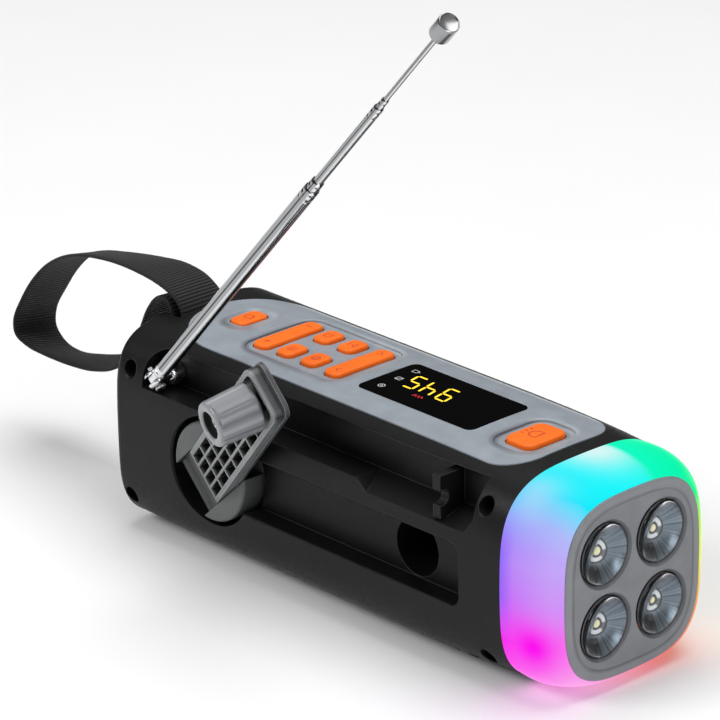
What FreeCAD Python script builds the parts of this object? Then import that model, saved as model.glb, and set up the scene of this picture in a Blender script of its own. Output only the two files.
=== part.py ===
"""Hand-crank emergency radio with a telescopic antenna, a lamp head and a wrist strap.

Millimetres. +X runs along the body to the lamp, +Z is up and the crank is on the -Y side.
The origin is the centre of the flat base that the radio rests on.
"""
import math
import os

import FreeCAD
import Part

V = FreeCAD.Vector
OUTWARD = V(0, -1, 0)       # out of the near side, which the crank and antenna are on

# ---- driving dimensions ------------------------------------------------------------
BODY_WIDTH = 76.0
BODY_TOP = 74.0
BASE_GAP = 1.0              # the shell's own underside stands this high on the base cover
REAR_X = -107.8
RECESS_X = -106.0           # floor of the shallow recess across the rear face
RECESS_Z0, RECESS_Z1 = 20.5, 53.5
RING_X = 83.5               # the shell ends and the light ring starts
FACE_X = 106.0              # front of the lamp bezel
WALL = 2.4
REAR_ROUND = 3.5
SQUARENESS = 4.2            # superellipse exponent of the body's cross-section
RING_SQUARENESS = 3.4       # the same at the light ring
BLEND_X = 30.0              # where the one starts to turn into the other
REAR_STEPS = 6              # stretches in the rear rounding
SIDE_Y = -BODY_WIDTH / 2
BODY_Z = (BODY_TOP + BASE_GAP) / 2
BODY_HALF_H = (BODY_TOP - BASE_GAP) / 2

# crank: the hub turns about Y, and the arm folds on a pin set off the hub's centre
HUB_X, HUB_Z = -57.5, 35.3
HUB_R = 17.8
WELL_R = 19.6
WELL_FLOOR_Y = -25.0
ARM_ANGLE = 42.9            # the direction of the arm at rest, up from +X
ARM_TILT = 17.0             # how far the arm at rest leans out of the side
PIN_OFFSET = 12.0           # hinge pin from the hub's centre, away from the arm
PIN_Y = -33.0
PIN_R = 1.25
ARM_WIDTH = 20.0
SLOT_WIDTH = 20.8
SLOT_FLOOR_Y = -29.0
ARM_RIM = 94.3              # hinge pin to the end of the arm's rim
ARM_FRONT, ARM_MID, ARM_BACK = 2.4, -1.5, -3.1
KNOB_AT = 82.6              # hinge pin to the knob's axis
KNOB_LENGTH = 16.0
KNOB_BASE_R, KNOB_TIP_R = 8.6, 7.2

# side recesses
GROOVE_X0, GROOVE_X1 = -92.5, 70.3
GROOVE_FLOOR_Z, GROOVE_ROOF_Z = 56.0, 70.2
GROOVE_BACK_Y = -26.0
POCKET_X1 = 64.0
POCKET_Z0, POCKET_Z1 = 25.0, 47.0
POCKET_FLOOR_Y = -30.0
KNOB_WELL_X, KNOB_WELL_Z = HUB_X + PIN_OFFSET + KNOB_AT, 35.4
KNOB_WELL_R, KNOB_WELL_END_Y = 10.0, -12.0

# antenna: a stud that swivels about Y and a tube that tilts out on a pin
HINGE = V(-86.5, -36.0, 60.7)
ANTENNA_ANGLE = 44.2
ANTENNA_TILT = 7.2
TUBE_1_END = 145.0
TUBES = (                   # name, outer radius, bore radius, start and end along the antenna
    ("antenna_tube_1", 2.60, 2.25, 6.0, TUBE_1_END),
    ("antenna_tube_2", 2.17, 1.73, 22.0, TUBE_1_END + 5.0),
    ("antenna_tube_3", 1.65, 1.30, 90.0, 200.0),
    ("antenna_tube_4", 1.22, 0.93, 100.0, 205.0),
)
ROD_R, ROD_START, ROD_END = 0.85, 150.0, 246.0
TIP_R, TIP_LENGTH = 3.5, 8.0

# top panel and what is set in it
PANEL_X0, PANEL_X1 = -97.4, 76.5
PANEL_HALF_W = 24.6
PANEL_PROUD = 0.3
PANEL_BED = 1.9
BUTTON_PROUD = 1.2
BUTTON_GAP = 0.35
DISPLAY_X, DISPLAY_LENGTH, DISPLAY_WIDTH = 18.0, 55.0, 28.0
ROCKER_SIZE = (7.6, 28.0)
SMALL_BUTTON_SIZE = (7.6, 10.0)
BUTTONS = (                 # name, X, Y, size along X and along Y, corner radius
    ("power_button", -79.2, 0.6, (8.0, 12.6), 2.6),
    ("volume_rocker", -58.2, 0.0, ROCKER_SIZE, 2.8),
    ("mode_button", -46.9, -8.4, SMALL_BUTTON_SIZE, 2.6),
    ("memory_button", -46.9, 8.4, SMALL_BUTTON_SIZE, 2.6),
    ("alarm_button", -34.9, -8.4, SMALL_BUTTON_SIZE, 2.6),
    ("play_button", -34.9, 8.4, SMALL_BUTTON_SIZE, 2.6),
    ("tuning_rocker", -22.4, 0.0, ROCKER_SIZE, 2.8),
    ("lamp_button", 63.6, -2.0, (12.8, 18.2), 3.4),
)
ROCKER_AXIS_Z = 67.5        # middle of the round rib that a rocker tips on

# lamp head
LENS_PITCH = 25.5
LAMP_Z = 36.8
LENS_R = 10.3
FACE_HALF_W, FACE_HALF_H = 30.8, 32.0
BEZEL_BACK_X = 102.6

# wrist strap, in the XZ plane
STRAP_WIDTH = 21.0
STRAP_THICK = 1.5
STRAP_Y0 = -13.0
BAR = V(-102.2, 0, 69.9)
BAR_R = 1.6
SLOT_X1, SLOT_Z0 = -98.4, 65.9
STRAP_PATH = (
    (-99.9, 74.6), (-102.6, 79.2), (-108.0, 81.6), (-120.0, 82.8), (-139.0, 81.6),
    (-158.0, 78.4), (-174.0, 71.5), (-184.5, 60.5), (-192.5, 48.5), (-195.5, 40.0),
    (-189.5, 34.6), (-176.0, 34.0), (-158.0, 36.6), (-141.0, 41.6), (-129.0, 51.0),
    (-122.0, 62.5), (-116.8, 71.6), (-111.6, 76.4), (-107.2, 76.9), (-104.6, 73.6),
)

# gear train behind the crank
MODULE = 0.8
PRESSURE = math.radians(25)
BACKLASH = 0.16
CRANK_TEETH, IDLER_PINION_TEETH = 45, 15
IDLER_TEETH, ROTOR_TEETH = 42, 14
CRANK_GEAR_Y = (-21.5, -17.5)
IDLER_GEAR_Y = (-15.5, -12.0)
IDLER_X = HUB_X + MODULE * (CRANK_TEETH + IDLER_PINION_TEETH) / 2
ROTOR_X = IDLER_X + MODULE * (IDLER_TEETH + ROTOR_TEETH) / 2
GEAR_PLATE_Y = (-9.5, -7.5)
UPPER_POST_Y, LOWER_POST_Y = -23.4, -34.4
IDLER_BOSS_Y = -22.5
SHAFT_R = 3.0

# fixings, sockets and what is on the far side
SCREWS = ((-99.4, 60.8), (-101.6, 12.6), (74.2, 63.2), (73.6, 9.7))
SOCKETS = (                 # y0, y1, z0, z1 of the sockets in the rear face
    (-27.0, -13.6, 24.8, 30.8),
    (-9.6, -0.4, 26.0, 29.6),
)
COVER_Y0, COVER_Y1, COVER_Z0, COVER_Z1 = -32.0, 3.0, 21.0, 36.0
COVER_X = RECESS_X - 0.25   # the flap's inner face, which stands just off the rear wall
COVER_AXIS = V(COVER_X - 1.65, 0, COVER_Z0 + 0.3)
PLUG_Y0, PLUG_Y1, PLUG_Z0, PLUG_Z1 = -28.4, 0.4, 24.2, 33.0
SPEAKER_X, SPEAKER_Z = 40.0, 37.0
SOLAR_X0, SOLAR_X1, SOLAR_Z0, SOLAR_Z1 = -86.0, 8.0, 17.0, 57.0
BASE_X0, BASE_X1, BASE_HALF_W = -84.0, 60.0, 22.8
BASE_THICK = 2.6
RIB_PITCH = 9.0


# ---- helpers -----------------------------------------------------------------------
def box(x0, x1, y0, y1, z0, z1):
    return Part.makeBox(x1 - x0, y1 - y0, z1 - z0, V(x0, y0, z0))


def rod_y(radius, x, z, y0, y1):
    """A round bar along Y."""
    return Part.makeCylinder(radius, y1 - y0, V(x, y0, z), V(0, 1, 0))


def rod_x(radius, x0, x1, y, z):
    return Part.makeCylinder(radius, x1 - x0, V(x0, y, z), V(1, 0, 0))


def rod_z(radius, x, y, z0, z1):
    return Part.makeCylinder(radius, z1 - z0, V(x, y, z0), V(0, 0, 1))


def rounded_slab(x, y, size, corner, z0, z1):
    """An upright prism with a rounded rectangular plan."""
    length, width = size
    slab = box(x - length / 2, x + length / 2, y - width / 2, y + width / 2, z0, z1)
    upright = [e for e in slab.Edges if abs(e.Vertexes[0].Z - e.Vertexes[1].Z) > 0.1]
    return slab.makeFillet(corner, upright)


def rounded_side_cut(x0, x1, z0, z1, corner, y0, y1):
    """A prism along Y with a rounded rectangular outline in the side view."""
    slab = box(x0, x1, y0, y1, z0, z1)
    along = [e for e in slab.Edges if abs(e.Vertexes[0].Y - e.Vertexes[1].Y) > 0.1]
    return slab.makeFillet(corner, along)


def rounded_box_x(x0, x1, y0, y1, z0, z1, corner):
    """A block along X whose four long edges are rounded."""
    slab = box(x0, x1, y0, y1, z0, z1)
    along = [e for e in slab.Edges if abs(e.Vertexes[0].X - e.Vertexes[1].X) > 0.1]
    return slab.makeFillet(corner, along)


def prism_y(outline, y0, y1):
    """An outline of (x, z) points, drawn out along Y."""
    points = [V(x, y0, z) for x, z in outline]
    face = Part.Face(Part.makePolygon(points + points[:1]))
    return face.extrude(V(0, y1 - y0, 0))


def superellipse(x, half_w, half_h, centre_z, exponent, steps=44):
    """A closed wire across the body at x."""
    points = []
    for i in range(steps):
        angle = 2 * math.pi * (i + 0.5) / steps
        c, s = math.cos(angle), math.sin(angle)
        y = half_w * math.copysign(abs(c) ** (2 / exponent), c)
        z = half_h * math.copysign(abs(s) ** (2 / exponent), s)
        points.append(V(x, y, centre_z + z))
    curve = Part.BSplineCurve()
    curve.interpolate(points, PeriodicFlag=True)
    return Part.Wire(curve.toShape())


def body(inset=0.0, front_x=RING_X):
    """The body's form, drawn in by inset all round, as one solid of ruled stretches."""
    wires = []
    for step in range(REAR_STEPS + 1):
        turn = math.pi / 2 * step / REAR_STEPS
        x = REAR_X + inset + REAR_ROUND * (1 - math.cos(turn))
        draw_in = inset + REAR_ROUND * (1 - math.sin(turn))
        wires.append(superellipse(x, BODY_WIDTH / 2 - draw_in, BODY_HALF_H - draw_in, BODY_Z, SQUARENESS))
    for x in (BLEND_X, 48.0, 62.0, 73.0, RING_X, front_x):
        if x <= wires[-1].BoundBox.XMax:
            continue
        ease = min(max((x - BLEND_X) / (RING_X - BLEND_X), 0.0), 1.0) ** 2
        exponent = SQUARENESS + (RING_SQUARENESS - SQUARENESS) * ease
        wires.append(superellipse(x, BODY_WIDTH / 2 - inset, BODY_HALF_H - inset, BODY_Z, exponent))
    return Part.makeLoft(wires, True, True)


def frame_matrix(origin, along, across, out):
    """Places a piece drawn along X, across Y and out Z at origin."""
    return FreeCAD.Matrix(along.x, across.x, out.x, origin.x,
                          along.y, across.y, out.y, origin.y,
                          along.z, across.z, out.z, origin.z,
                          0, 0, 0, 1)


def placed(shape, matrix):
    moved = shape.copy()
    moved.transformShape(matrix)
    return moved


def save(name, *solids):
    shape = solids[0] if len(solids) == 1 else Part.makeCompound(list(solids))
    shape.exportStep("parts/" + name + ".step")


def fuse(first, *others):
    return first.fuse(list(others)).removeSplitter()


# ---- shells ------------------------------------------------------------------------
def panel_outline(margin, z0, z1):
    """The top panel's plan: a wide rounded strip, rounder at the rear."""
    x0, x1 = PANEL_X0 - margin, PANEL_X1 + margin
    half = PANEL_HALF_W + margin
    slab = box(x0, x1, -half, half, z0, z1)
    upright = [e for e in slab.Edges if abs(e.Vertexes[0].Z - e.Vertexes[1].Z) > 0.1]
    rear = [e for e in upright if e.Vertexes[0].X < 0]
    slab = slab.makeFillet(half - 0.2, rear)
    upright = [e for e in slab.Edges if abs(e.Vertexes[0].Z - e.Vertexes[1].Z) > 0.1]
    front = [e for e in upright if e.Vertexes[0].X > x1 - 0.1]
    return slab.makeFillet(13.0 + margin, front)


def groove_cut():
    """The antenna's groove, which takes the body's upper corner away, with its sloping front floor."""
    cut = box(GROOVE_X0, GROOVE_X1, SIDE_Y - 2, GROOVE_BACK_Y, GROOVE_FLOOR_Z, GROOVE_ROOF_Z)
    rear_top = [e for e in cut.Edges
                if abs(e.Vertexes[0].Y - e.Vertexes[1].Y) > 1
                and e.Vertexes[0].X < 0 and e.Vertexes[0].Z > 65]
    cut = cut.makeFillet(8.0, rear_top)
    drop = 3.8
    section = Part.makePolygon([V(16, GROOVE_BACK_Y, GROOVE_FLOOR_Z),
                                V(16, SIDE_Y - 2, GROOVE_FLOOR_Z),
                                V(22, SIDE_Y - 2, GROOVE_FLOOR_Z - drop * 1.15),
                                V(16, GROOVE_BACK_Y, GROOVE_FLOOR_Z)])
    ramp = Part.Face(section).extrude(V(GROOVE_X1 - 16, 0, 0))
    corner = prism_y(((GROOVE_X0 - 1, 40), (GROOVE_X1 - 4, 40), (GROOVE_X1 - 4, 52.2), (GROOVE_X1, 57.6),
                      (GROOVE_X1, 80), (GROOVE_X0 - 1, 80)), SIDE_Y - 3, 0)
    return cut.fuse(ramp).common(corner)


def recess_backing():
    """Solid stock behind the side recesses, before they are cut."""
    groove = box(GROOVE_X0 - 2.4, GROOVE_X1 + 2.4, SIDE_Y, GROOVE_BACK_Y + 2.5, GROOVE_FLOOR_Z - 6.5,
                 GROOVE_ROOF_Z + 2.2)
    pocket = box(HUB_X, POCKET_X1 + 2.4, SIDE_Y, POCKET_FLOOR_Y + 2.2, POCKET_Z0 - 2.4, POCKET_Z1 + 5)
    well = rod_y(WELL_R + 2.4, HUB_X, HUB_Z, SIDE_Y, WELL_FLOOR_Y + 2.0)
    knob_well = rod_y(KNOB_WELL_R + 2.0, KNOB_WELL_X, KNOB_WELL_Z, SIDE_Y, KNOB_WELL_END_Y + 2.0)
    idler_boss = rod_y(3.6, IDLER_X, HUB_Z, POCKET_FLOOR_Y, IDLER_BOSS_Y)
    return groove.fuse([pocket, well, knob_well, idler_boss])


def mouth_flares():
    """Small chamfers round the mouths of the crank well, the pocket and the screw holes."""
    wide = 0.7
    at = SIDE_Y - 0.1
    flares = [Part.makeCone(WELL_R + wide, WELL_R, wide, V(HUB_X, at, HUB_Z), V(0, 1, 0))]
    for x, z in SCREWS:
        flares.append(Part.makeCone(3.1 + 2 * wide, 3.1, 2 * wide, V(x, at, z), V(0, 1, 0)))
    lip = []
    for grow, y in ((wide, at), (0.0, at + wide)):
        outline = rounded_side_cut(HUB_X - grow, POCKET_X1 + grow, POCKET_Z0 - grow, POCKET_Z1 + grow,
                                   4.0 + grow, y, y + 1)
        face = min(outline.Faces, key=lambda f: f.CenterOfMass.y)
        lip.append(face.OuterWire)
    flares.append(Part.makeLoft(lip, True, True))
    return flares


def screw_bosses(y0, y1):
    posts = [rod_y(4.6, x, z, y0, y1) for x, z in SCREWS]
    return posts[0].fuse(posts[1:])


def strap_slot():
    return box(REAR_X - 1, SLOT_X1, STRAP_Y0 - 2, STRAP_Y0 + STRAP_WIDTH + 2, SLOT_Z0, BODY_TOP + 2)


def antenna_clip():
    """Two fingers that hold the folded antenna, standing on the groove's floor."""
    plate = box(52.0, 55.4, SIDE_Y + 1.0, GROOVE_BACK_Y + 1, GROOVE_FLOOR_Z - 2.6, 68.4)
    throat = rod_x(2.9, 51, 57, HINGE.y, HINGE.z)
    mouth = box(51, 57, SIDE_Y - 1, HINGE.y, HINGE.z - 2.2, HINGE.z + 2.2)
    return plate.cut(throat).cut(mouth)


def base_bed():
    """The shallow seat under the body that the base cover fills."""
    return box(BASE_X0 - 0.2, BASE_X1 + 0.2, -BASE_HALF_W - 0.2, BASE_HALF_W + 0.2, -1, BASE_THICK)


def top_openings():
    """What is open under the top panel: the button field and the display."""
    keys = rounded_slab(-50.0, 0, (74.0, 37.0), 5.0, 60, 80)
    display = rounded_slab(DISPLAY_X, 0, (DISPLAY_LENGTH - 4, DISPLAY_WIDTH - 4), 3.0, 60, 80)
    lamp = rounded_slab(63.6, -2.0, (17.0, 23.0), 4.0, 60, 80)
    return keys.fuse([display, lamp])


def shells():
    recess = prism_y(((REAR_X - 1, RECESS_Z0 - 4), (RECESS_X, RECESS_Z0), (RECESS_X, RECESS_Z1),
                      (REAR_X - 1, RECESS_Z1 + 4)), -60, 60)
    outer = body().cut(recess)
    hollow = body(WALL, RING_X + 4).common(box(RECESS_X + WALL, RING_X + 9, -60, 60, -5, 90))
    stock = outer.common(recess_backing())
    bed = panel_outline(0.15, 60, 80).cut(body(PANEL_BED))
    usb_bay = rounded_box_x(RECESS_X - 1, RECESS_X + 1.3, PLUG_Y0 - 0.4, PLUG_Y1 + 0.4,
                            PLUG_Z0 - 0.4, PLUG_Z1 + 0.4, 1.8)
    pry_notch = box(-36.0, -27.5, -40, -20, -1, 2.4)
    sockets = [rounded_box_x(RECESS_X - 2, RECESS_X + 8, y0, y1, z0, z1, 0.9) for y0, y1, z0, z1 in SOCKETS]
    halves = {}
    for side, y0, y1 in (("left", -60, 0), ("right", 0, 60)):
        half = box(REAR_X - 5, RING_X + 1, y0, y1, -5, 90)
        wall = outer.cut(hollow).common(half)
        posts = outer.common(screw_bosses(*((SIDE_Y, 0) if side == "left" else (0, -SIDE_Y))))
        shell = fuse(wall, posts, stock.common(half)) if side == "left" else fuse(wall, posts)
        openings = [bed, top_openings(), strap_slot(), usb_bay, base_bed(), pry_notch]
        halves[side] = shell.cut(openings + sockets)
    left, right = halves["left"], halves["right"]

    well = rod_y(WELL_R, HUB_X, HUB_Z, SIDE_Y - 2, WELL_FLOOR_Y)
    pocket = rounded_side_cut(HUB_X, POCKET_X1, POCKET_Z0, POCKET_Z1, 4.0, SIDE_Y - 2, POCKET_FLOOR_Y)
    knob_well = rod_y(KNOB_WELL_R, KNOB_WELL_X, KNOB_WELL_Z, SIDE_Y - 2, KNOB_WELL_END_Y)
    knob_well = knob_well.common(box(-60, 80, -60, 0, 0, POCKET_Z1 - 2))
    shaft_hole = rod_y(SHAFT_R + 0.05, HUB_X, HUB_Z, WELL_FLOOR_Y - 1, 0)
    stud_hole = rod_y(3.0, HINGE.x, HINGE.z, GROOVE_BACK_Y - 1, -20)
    idler_hole = rod_y(1.55, IDLER_X, HUB_Z, IDLER_BOSS_Y - 4, IDLER_BOSS_Y + 1)
    side_cuts = [groove_cut(), well, pocket, knob_well, shaft_hole, stud_hole, idler_hole]
    left = left.cut(side_cuts + mouth_flares())
    left = left.fuse(antenna_clip()).removeSplitter()
    for x, z in SCREWS:
        left = left.cut([rod_y(3.1, x, z, SIDE_Y - 2, -26.0), rod_y(1.6, x, z, -27, 1)])
        right = right.cut(rod_y(1.25, x, z, -1, 16.0))

    grille_seat = rod_y(21.4, SPEAKER_X, SPEAKER_Z, 36.4, 40)
    sound_hole = rod_y(19.0, SPEAKER_X, SPEAKER_Z, 30, 40)
    solar_seat = rounded_side_cut(SOLAR_X0 - 0.2, SOLAR_X1 + 0.2, SOLAR_Z0 - 0.2, SOLAR_Z1 + 0.2,
                                  3.0, 36.0, 40)
    right = right.cut([grille_seat, sound_hole, solar_seat])
    return left, right


# ---- base, sockets and far side ----------------------------------------------------
def base_cover():
    """A ribbed cover whose long edges are scalloped; its flat underside is the resting face."""
    plate = box(BASE_X0, BASE_X1, -BASE_HALF_W, BASE_HALF_W, 0, BASE_THICK)
    upright = [e for e in plate.Edges if abs(e.Vertexes[0].Z - e.Vertexes[1].Z) > 0.1]
    plate = plate.makeFillet(4.0, upright)
    notches = []
    count = int((BASE_X1 - BASE_X0) / RIB_PITCH) - 1
    for i in range(count):
        x = BASE_X0 + RIB_PITCH * (i + 1)
        for side in (-1, 1):
            notches.append(rod_z(2.4, x, side * (BASE_HALF_W + 1.2), -1, BASE_THICK - 1.0))
    return plate.cut(notches)


def screw(x, z):
    head = rod_y(2.8, x, z, -26.0 - 2.2, -26.0)
    shank = rod_y(1.5, x, z, -26.0, -0.2)
    tip = rod_y(1.2, x, z, -0.2, 12.0)
    drive = box(x - 0.4, x + 0.4, -30, -27.2, z - 1.8, z + 1.8)
    cross = box(x - 1.8, x + 1.8, -30, -27.2, z - 0.4, z + 0.4)
    return fuse(head, shank, tip).cut([drive, cross])


def socket_shells():
    """The metal charging sockets behind the rear face."""
    pieces = []
    for y0, y1, z0, z1 in SOCKETS:
        shell = rounded_box_x(RECESS_X + 2.6, RECESS_X + 16, y0 + 0.1, y1 - 0.1, z0 + 0.1, z1 - 0.1, 0.8)
        bore = rounded_box_x(RECESS_X + 1, RECESS_X + 15, y0 + 0.6, y1 - 0.6, z0 + 0.6, z1 - 0.6, 0.5)
        middle = (z0 + z1) / 2
        tongue = box(RECESS_X + 5, RECESS_X + 15.5, y0 + 1.6, y1 - 1.6, middle - 0.45, middle + 0.45)
        pieces.append(fuse(shell.cut(bore), tongue))
    return pieces


def port_cover():
    """A rubber flap that plugs the sockets and turns on a round bead along its lower edge."""
    flap = rounded_box_x(COVER_X - 2.0, COVER_X, COVER_Y0, COVER_Y1, COVER_Z0, COVER_Z1, 2.6)
    outer = [e for e in flap.Edges if abs(e.CenterOfMass.x - COVER_X + 2.0) < 0.01]
    flap = flap.makeFillet(0.8, outer)
    plug = rounded_box_x(COVER_X - 1.0, RECESS_X + 1.1, PLUG_Y0, PLUG_Y1, PLUG_Z0, PLUG_Z1, 1.4)
    pull = rounded_box_x(COVER_X - 3.0, COVER_X - 1.5, COVER_Y0 + 9, COVER_Y1 - 9,
                         COVER_Z1 - 4.2, COVER_Z1 - 2.4, 0.6)
    bead = rod_y(0.7, COVER_AXIS.x, COVER_AXIS.z, COVER_Y0 + 3, COVER_Y1 - 3)
    return fuse(flap, plug, pull, bead)


def speaker():
    cone_frame = rod_y(18.6, SPEAKER_X, SPEAKER_Z, 30.6, 33.6)
    basket = Part.makeCone(11.0, 17.5, 8.0, V(SPEAKER_X, 22.6, SPEAKER_Z), V(0, 1, 0))
    magnet = rod_y(11.0, SPEAKER_X, SPEAKER_Z, 15.0, 22.6)
    dish = Part.makeCone(4.0, 16.0, 6.0, V(SPEAKER_X, 27.7, SPEAKER_Z), V(0, 1, 0))
    return fuse(cone_frame, basket, magnet).cut(dish)


def speaker_grille():
    plate = rod_y(21.2, SPEAKER_X, SPEAKER_Z, 36.4, 38.0)
    holes = []
    for ring in range(1, 5):
        for i in range(6 * ring):
            angle = 2 * math.pi * i / (6 * ring)
            x = SPEAKER_X + 4.1 * ring * math.cos(angle)
            z = SPEAKER_Z + 4.1 * ring * math.sin(angle)
            holes.append(rod_y(1.2, x, z, 36, 39))
    return plate.cut(holes)


def solar_panel():
    return rounded_side_cut(SOLAR_X0, SOLAR_X1, SOLAR_Z0, SOLAR_Z1, 2.8, 36.2, 37.6)


# ---- top panel, display and buttons ------------------------------------------------
def rounded_plan(x, y, size, corner, grow=0.0, z0=60.0, z1=80.0):
    return rounded_slab(x, y, (size[0] + 2 * grow, size[1] + 2 * grow), corner + grow, z0, z1)


def top_panel():
    cap = panel_outline(0.0, 60, 80).common(body(-PANEL_PROUD)).cut(body(PANEL_BED))
    cluster = rounded_slab(-40.5, 0, (48.0, 35.0), 6.0, 60, 80).cut(body(0.3))
    lamp_dish = rounded_slab(63.0, -2.0, (19.0, 26.0), 6.5, 60, 80).cut(body(0.5))
    cuts = [cluster, lamp_dish]
    for name, x, y, size, corner in BUTTONS:
        cuts.append(rounded_plan(x, y, size, corner, BUTTON_GAP))
    cuts.append(rounded_slab(DISPLAY_X, 0, (DISPLAY_LENGTH, DISPLAY_WIDTH), 3.0, BODY_TOP - 1.2, 80))
    cuts.append(rounded_slab(DISPLAY_X, 0, (DISPLAY_LENGTH - 6, DISPLAY_WIDTH - 6), 2.0, 60, 80))
    return cap.cut(cuts)


def button(x, y, size, corner):
    """A cap proud of the panel on a flange held under it; a rocker also has a rib to tip on."""
    cap = rounded_plan(x, y, size, corner, 0.0, 68.6, 80).common(body(-BUTTON_PROUD))
    flange = rounded_plan(x, y, size, corner, 0.9, 68.6, BODY_TOP - PANEL_BED - 0.6)
    if size != ROCKER_SIZE:
        return fuse(cap, flange)
    web = box(x - 2.4, x + 2.4, y - 1.2, y + 1.2, ROCKER_AXIS_Z, 68.8)
    return fuse(cap, flange, web, rod_x(1.2, x - 2.4, x + 2.4, y, ROCKER_AXIS_Z))


def display_window():
    return rounded_slab(DISPLAY_X, 0, (DISPLAY_LENGTH - 0.2, DISPLAY_WIDTH - 0.2), 2.9,
                        BODY_TOP - 1.2, BODY_TOP + PANEL_PROUD)


def display_module():
    can = box(DISPLAY_X - 22, DISPLAY_X + 22, -9.5, 9.5, 67.0, 71.2)
    board = box(DISPLAY_X - 24, DISPLAY_X + 24, -11.5, 11.5, 65.6, 67.0)
    return fuse(can, board)


def button_board():
    """Two switch boards under the panel, with a tactile switch below each key and rocker end."""
    boards = {"keys": box(-88.0, -12.0, -19.0, 19.0, 64.0, 65.6),
              "lamp": box(56.5, 68.8, -12.0, 8.0, 64.0, 65.6)}
    for name, x, y, size, _ in BUTTONS:
        board = "lamp" if name == "lamp_button" else "keys"
        for dy in (-9.0, 9.0) if size == ROCKER_SIZE else (0.0,):
            case = box(x - 3, x + 3, y + dy - 3, y + dy + 3, 65.6, 67.0)
            boards[board] = boards[board].fuse([case, rod_z(1.2, x, y + dy, 67.0, 67.6)])
    return boards.values()


# ---- lamp head ---------------------------------------------------------------------
def ring_form(inset):
    """The light ring's swelling form, from the shell to the lamp face."""
    stations = ((RING_X, 0.0, 0.0), (88.0, 0.25, 0.25), (93.0, 0.1, 0.0), (97.0, -0.7, -0.7),
                (100.5, -2.1, -1.7), (103.4, -4.1, -3.0), (FACE_X - 0.6, -6.3, -4.2))
    wires = []
    for x, wide, high in stations:
        wires.append(superellipse(x, BODY_WIDTH / 2 + wide - inset, BODY_HALF_H + high - inset,
                                  BODY_Z - 0.7 * (x - RING_X) / (FACE_X - RING_X), RING_SQUARENESS))
    return Part.makeLoft(wires, True, False)


def face_prism(margin, x0, x1):
    start = superellipse(x0, FACE_HALF_W + margin, FACE_HALF_H + margin, LAMP_Z, 3.3)
    return Part.Face(start).extrude(V(x1 - x0, 0, 0))


def light_ring():
    ring = ring_form(0.0)
    hollow = ring_form(2.4).common(box(RING_X - 5, BEZEL_BACK_X - 1.2, -60, 60, -20, 100))
    return ring.cut([hollow, face_prism(0.05, BEZEL_BACK_X - 8, FACE_X + 5)])


def lens_places():
    half = LENS_PITCH / 2
    return [(y, LAMP_Z + z) for z in (half, -half) for y in (-half, half)]


def lamp_bezel():
    plate = face_prism(0.0, BEZEL_BACK_X, FACE_X)
    rim = [e for e in plate.Edges if abs(e.CenterOfMass.x - FACE_X) < 0.01 and len(e.Vertexes) <= 2]
    plate = plate.makeFillet(0.9, rim)
    hollow = face_prism(-4.4, BEZEL_BACK_X - 10, BEZEL_BACK_X)
    skirt = face_prism(-2.6, BEZEL_BACK_X - 9, BEZEL_BACK_X + 1).cut(hollow)
    cuts = []
    for y, z in lens_places():
        cuts.append(rod_x(LENS_R + 0.1, BEZEL_BACK_X - 1, FACE_X + 1, y, z))
        cuts.append(Part.makeCone(LENS_R + 0.1, LENS_R + 1.6, 1.6, V(FACE_X - 1.55, y, z), V(1, 0, 0)))
    return fuse(plate, skirt).cut(cuts)


def lamp_lens(y, z):
    """A clear disc with a domed front."""
    disc = rod_x(LENS_R, 100.2, 103.0, y, z)
    dome_r = 24.0
    rise = dome_r - math.sqrt(dome_r ** 2 - LENS_R ** 2)
    ball = Part.makeSphere(dome_r, V(103.0 + rise - dome_r, y, z))
    return fuse(disc, ball.common(rod_x(LENS_R, 102.5, 108, y, z)))


def reflector(y, z):
    outer = Part.makeCone(3.6, LENS_R + 0.6, 9.0, V(91.0, y, z), V(1, 0, 0))
    bowl = Part.makeCone(2.6, LENS_R - 0.4, 8.6, V(91.4, y, z), V(1, 0, 0))
    return outer.cut([bowl, rod_x(2.6, 90, 92, y, z)])


def lamp_led(y, z):
    base = box(90.0, 90.8, y - 2.2, y + 2.2, z - 2.2, z + 2.2)
    return fuse(base, Part.makeSphere(1.6, V(90.8, y, z)).common(box(90.8, 93, y - 3, y + 3, z - 3, z + 3)))


def lamp_board():
    return face_prism(-4.6, 88.4, 90.0)


def ring_board():
    """A narrow frame of board that carries the coloured lights of the ring."""
    outer = superellipse(85.0, 34.2, 32.8, BODY_Z, RING_SQUARENESS)
    plate = Part.Face(outer).extrude(V(1.4, 0, 0))
    middle = superellipse(84.0, 27.0, 26.0, BODY_Z, RING_SQUARENESS)
    return plate.cut(Part.Face(middle).extrude(V(4, 0, 0)))


def ring_lights():
    lights = []
    count = 12
    for i in range(count):
        angle = 2 * math.pi * (i + 0.5) / count
        y = 30.4 * math.copysign(abs(math.cos(angle)) ** (2 / 3), math.cos(angle))
        z = BODY_Z + 29.4 * math.copysign(abs(math.sin(angle)) ** (2 / 3), math.sin(angle))
        lights.append(box(86.4, 88.0, y - 1.4, y + 1.4, z - 1.4, z + 1.4))
    return lights


# ---- crank -------------------------------------------------------------------------
def side_axes(angle):
    """Directions on the near side face: one turned up from +X by an angle, and one across it."""
    turn = math.radians(angle)
    return V(math.cos(turn), 0, math.sin(turn)), V(-math.sin(turn), 0, math.cos(turn))


def arm_matrix():
    tilt = math.radians(ARM_TILT)
    flat, across = side_axes(ARM_ANGLE)
    along = flat * math.cos(tilt) + OUTWARD * math.sin(tilt)
    normal = OUTWARD * math.cos(tilt) - flat * math.sin(tilt)
    origin = V(HUB_X, PIN_Y, HUB_Z) - flat * PIN_OFFSET
    return frame_matrix(origin, along, across, normal)


def hub_matrix():
    return frame_matrix(V(HUB_X, 0, HUB_Z), *side_axes(ARM_ANGLE), OUTWARD)


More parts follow.
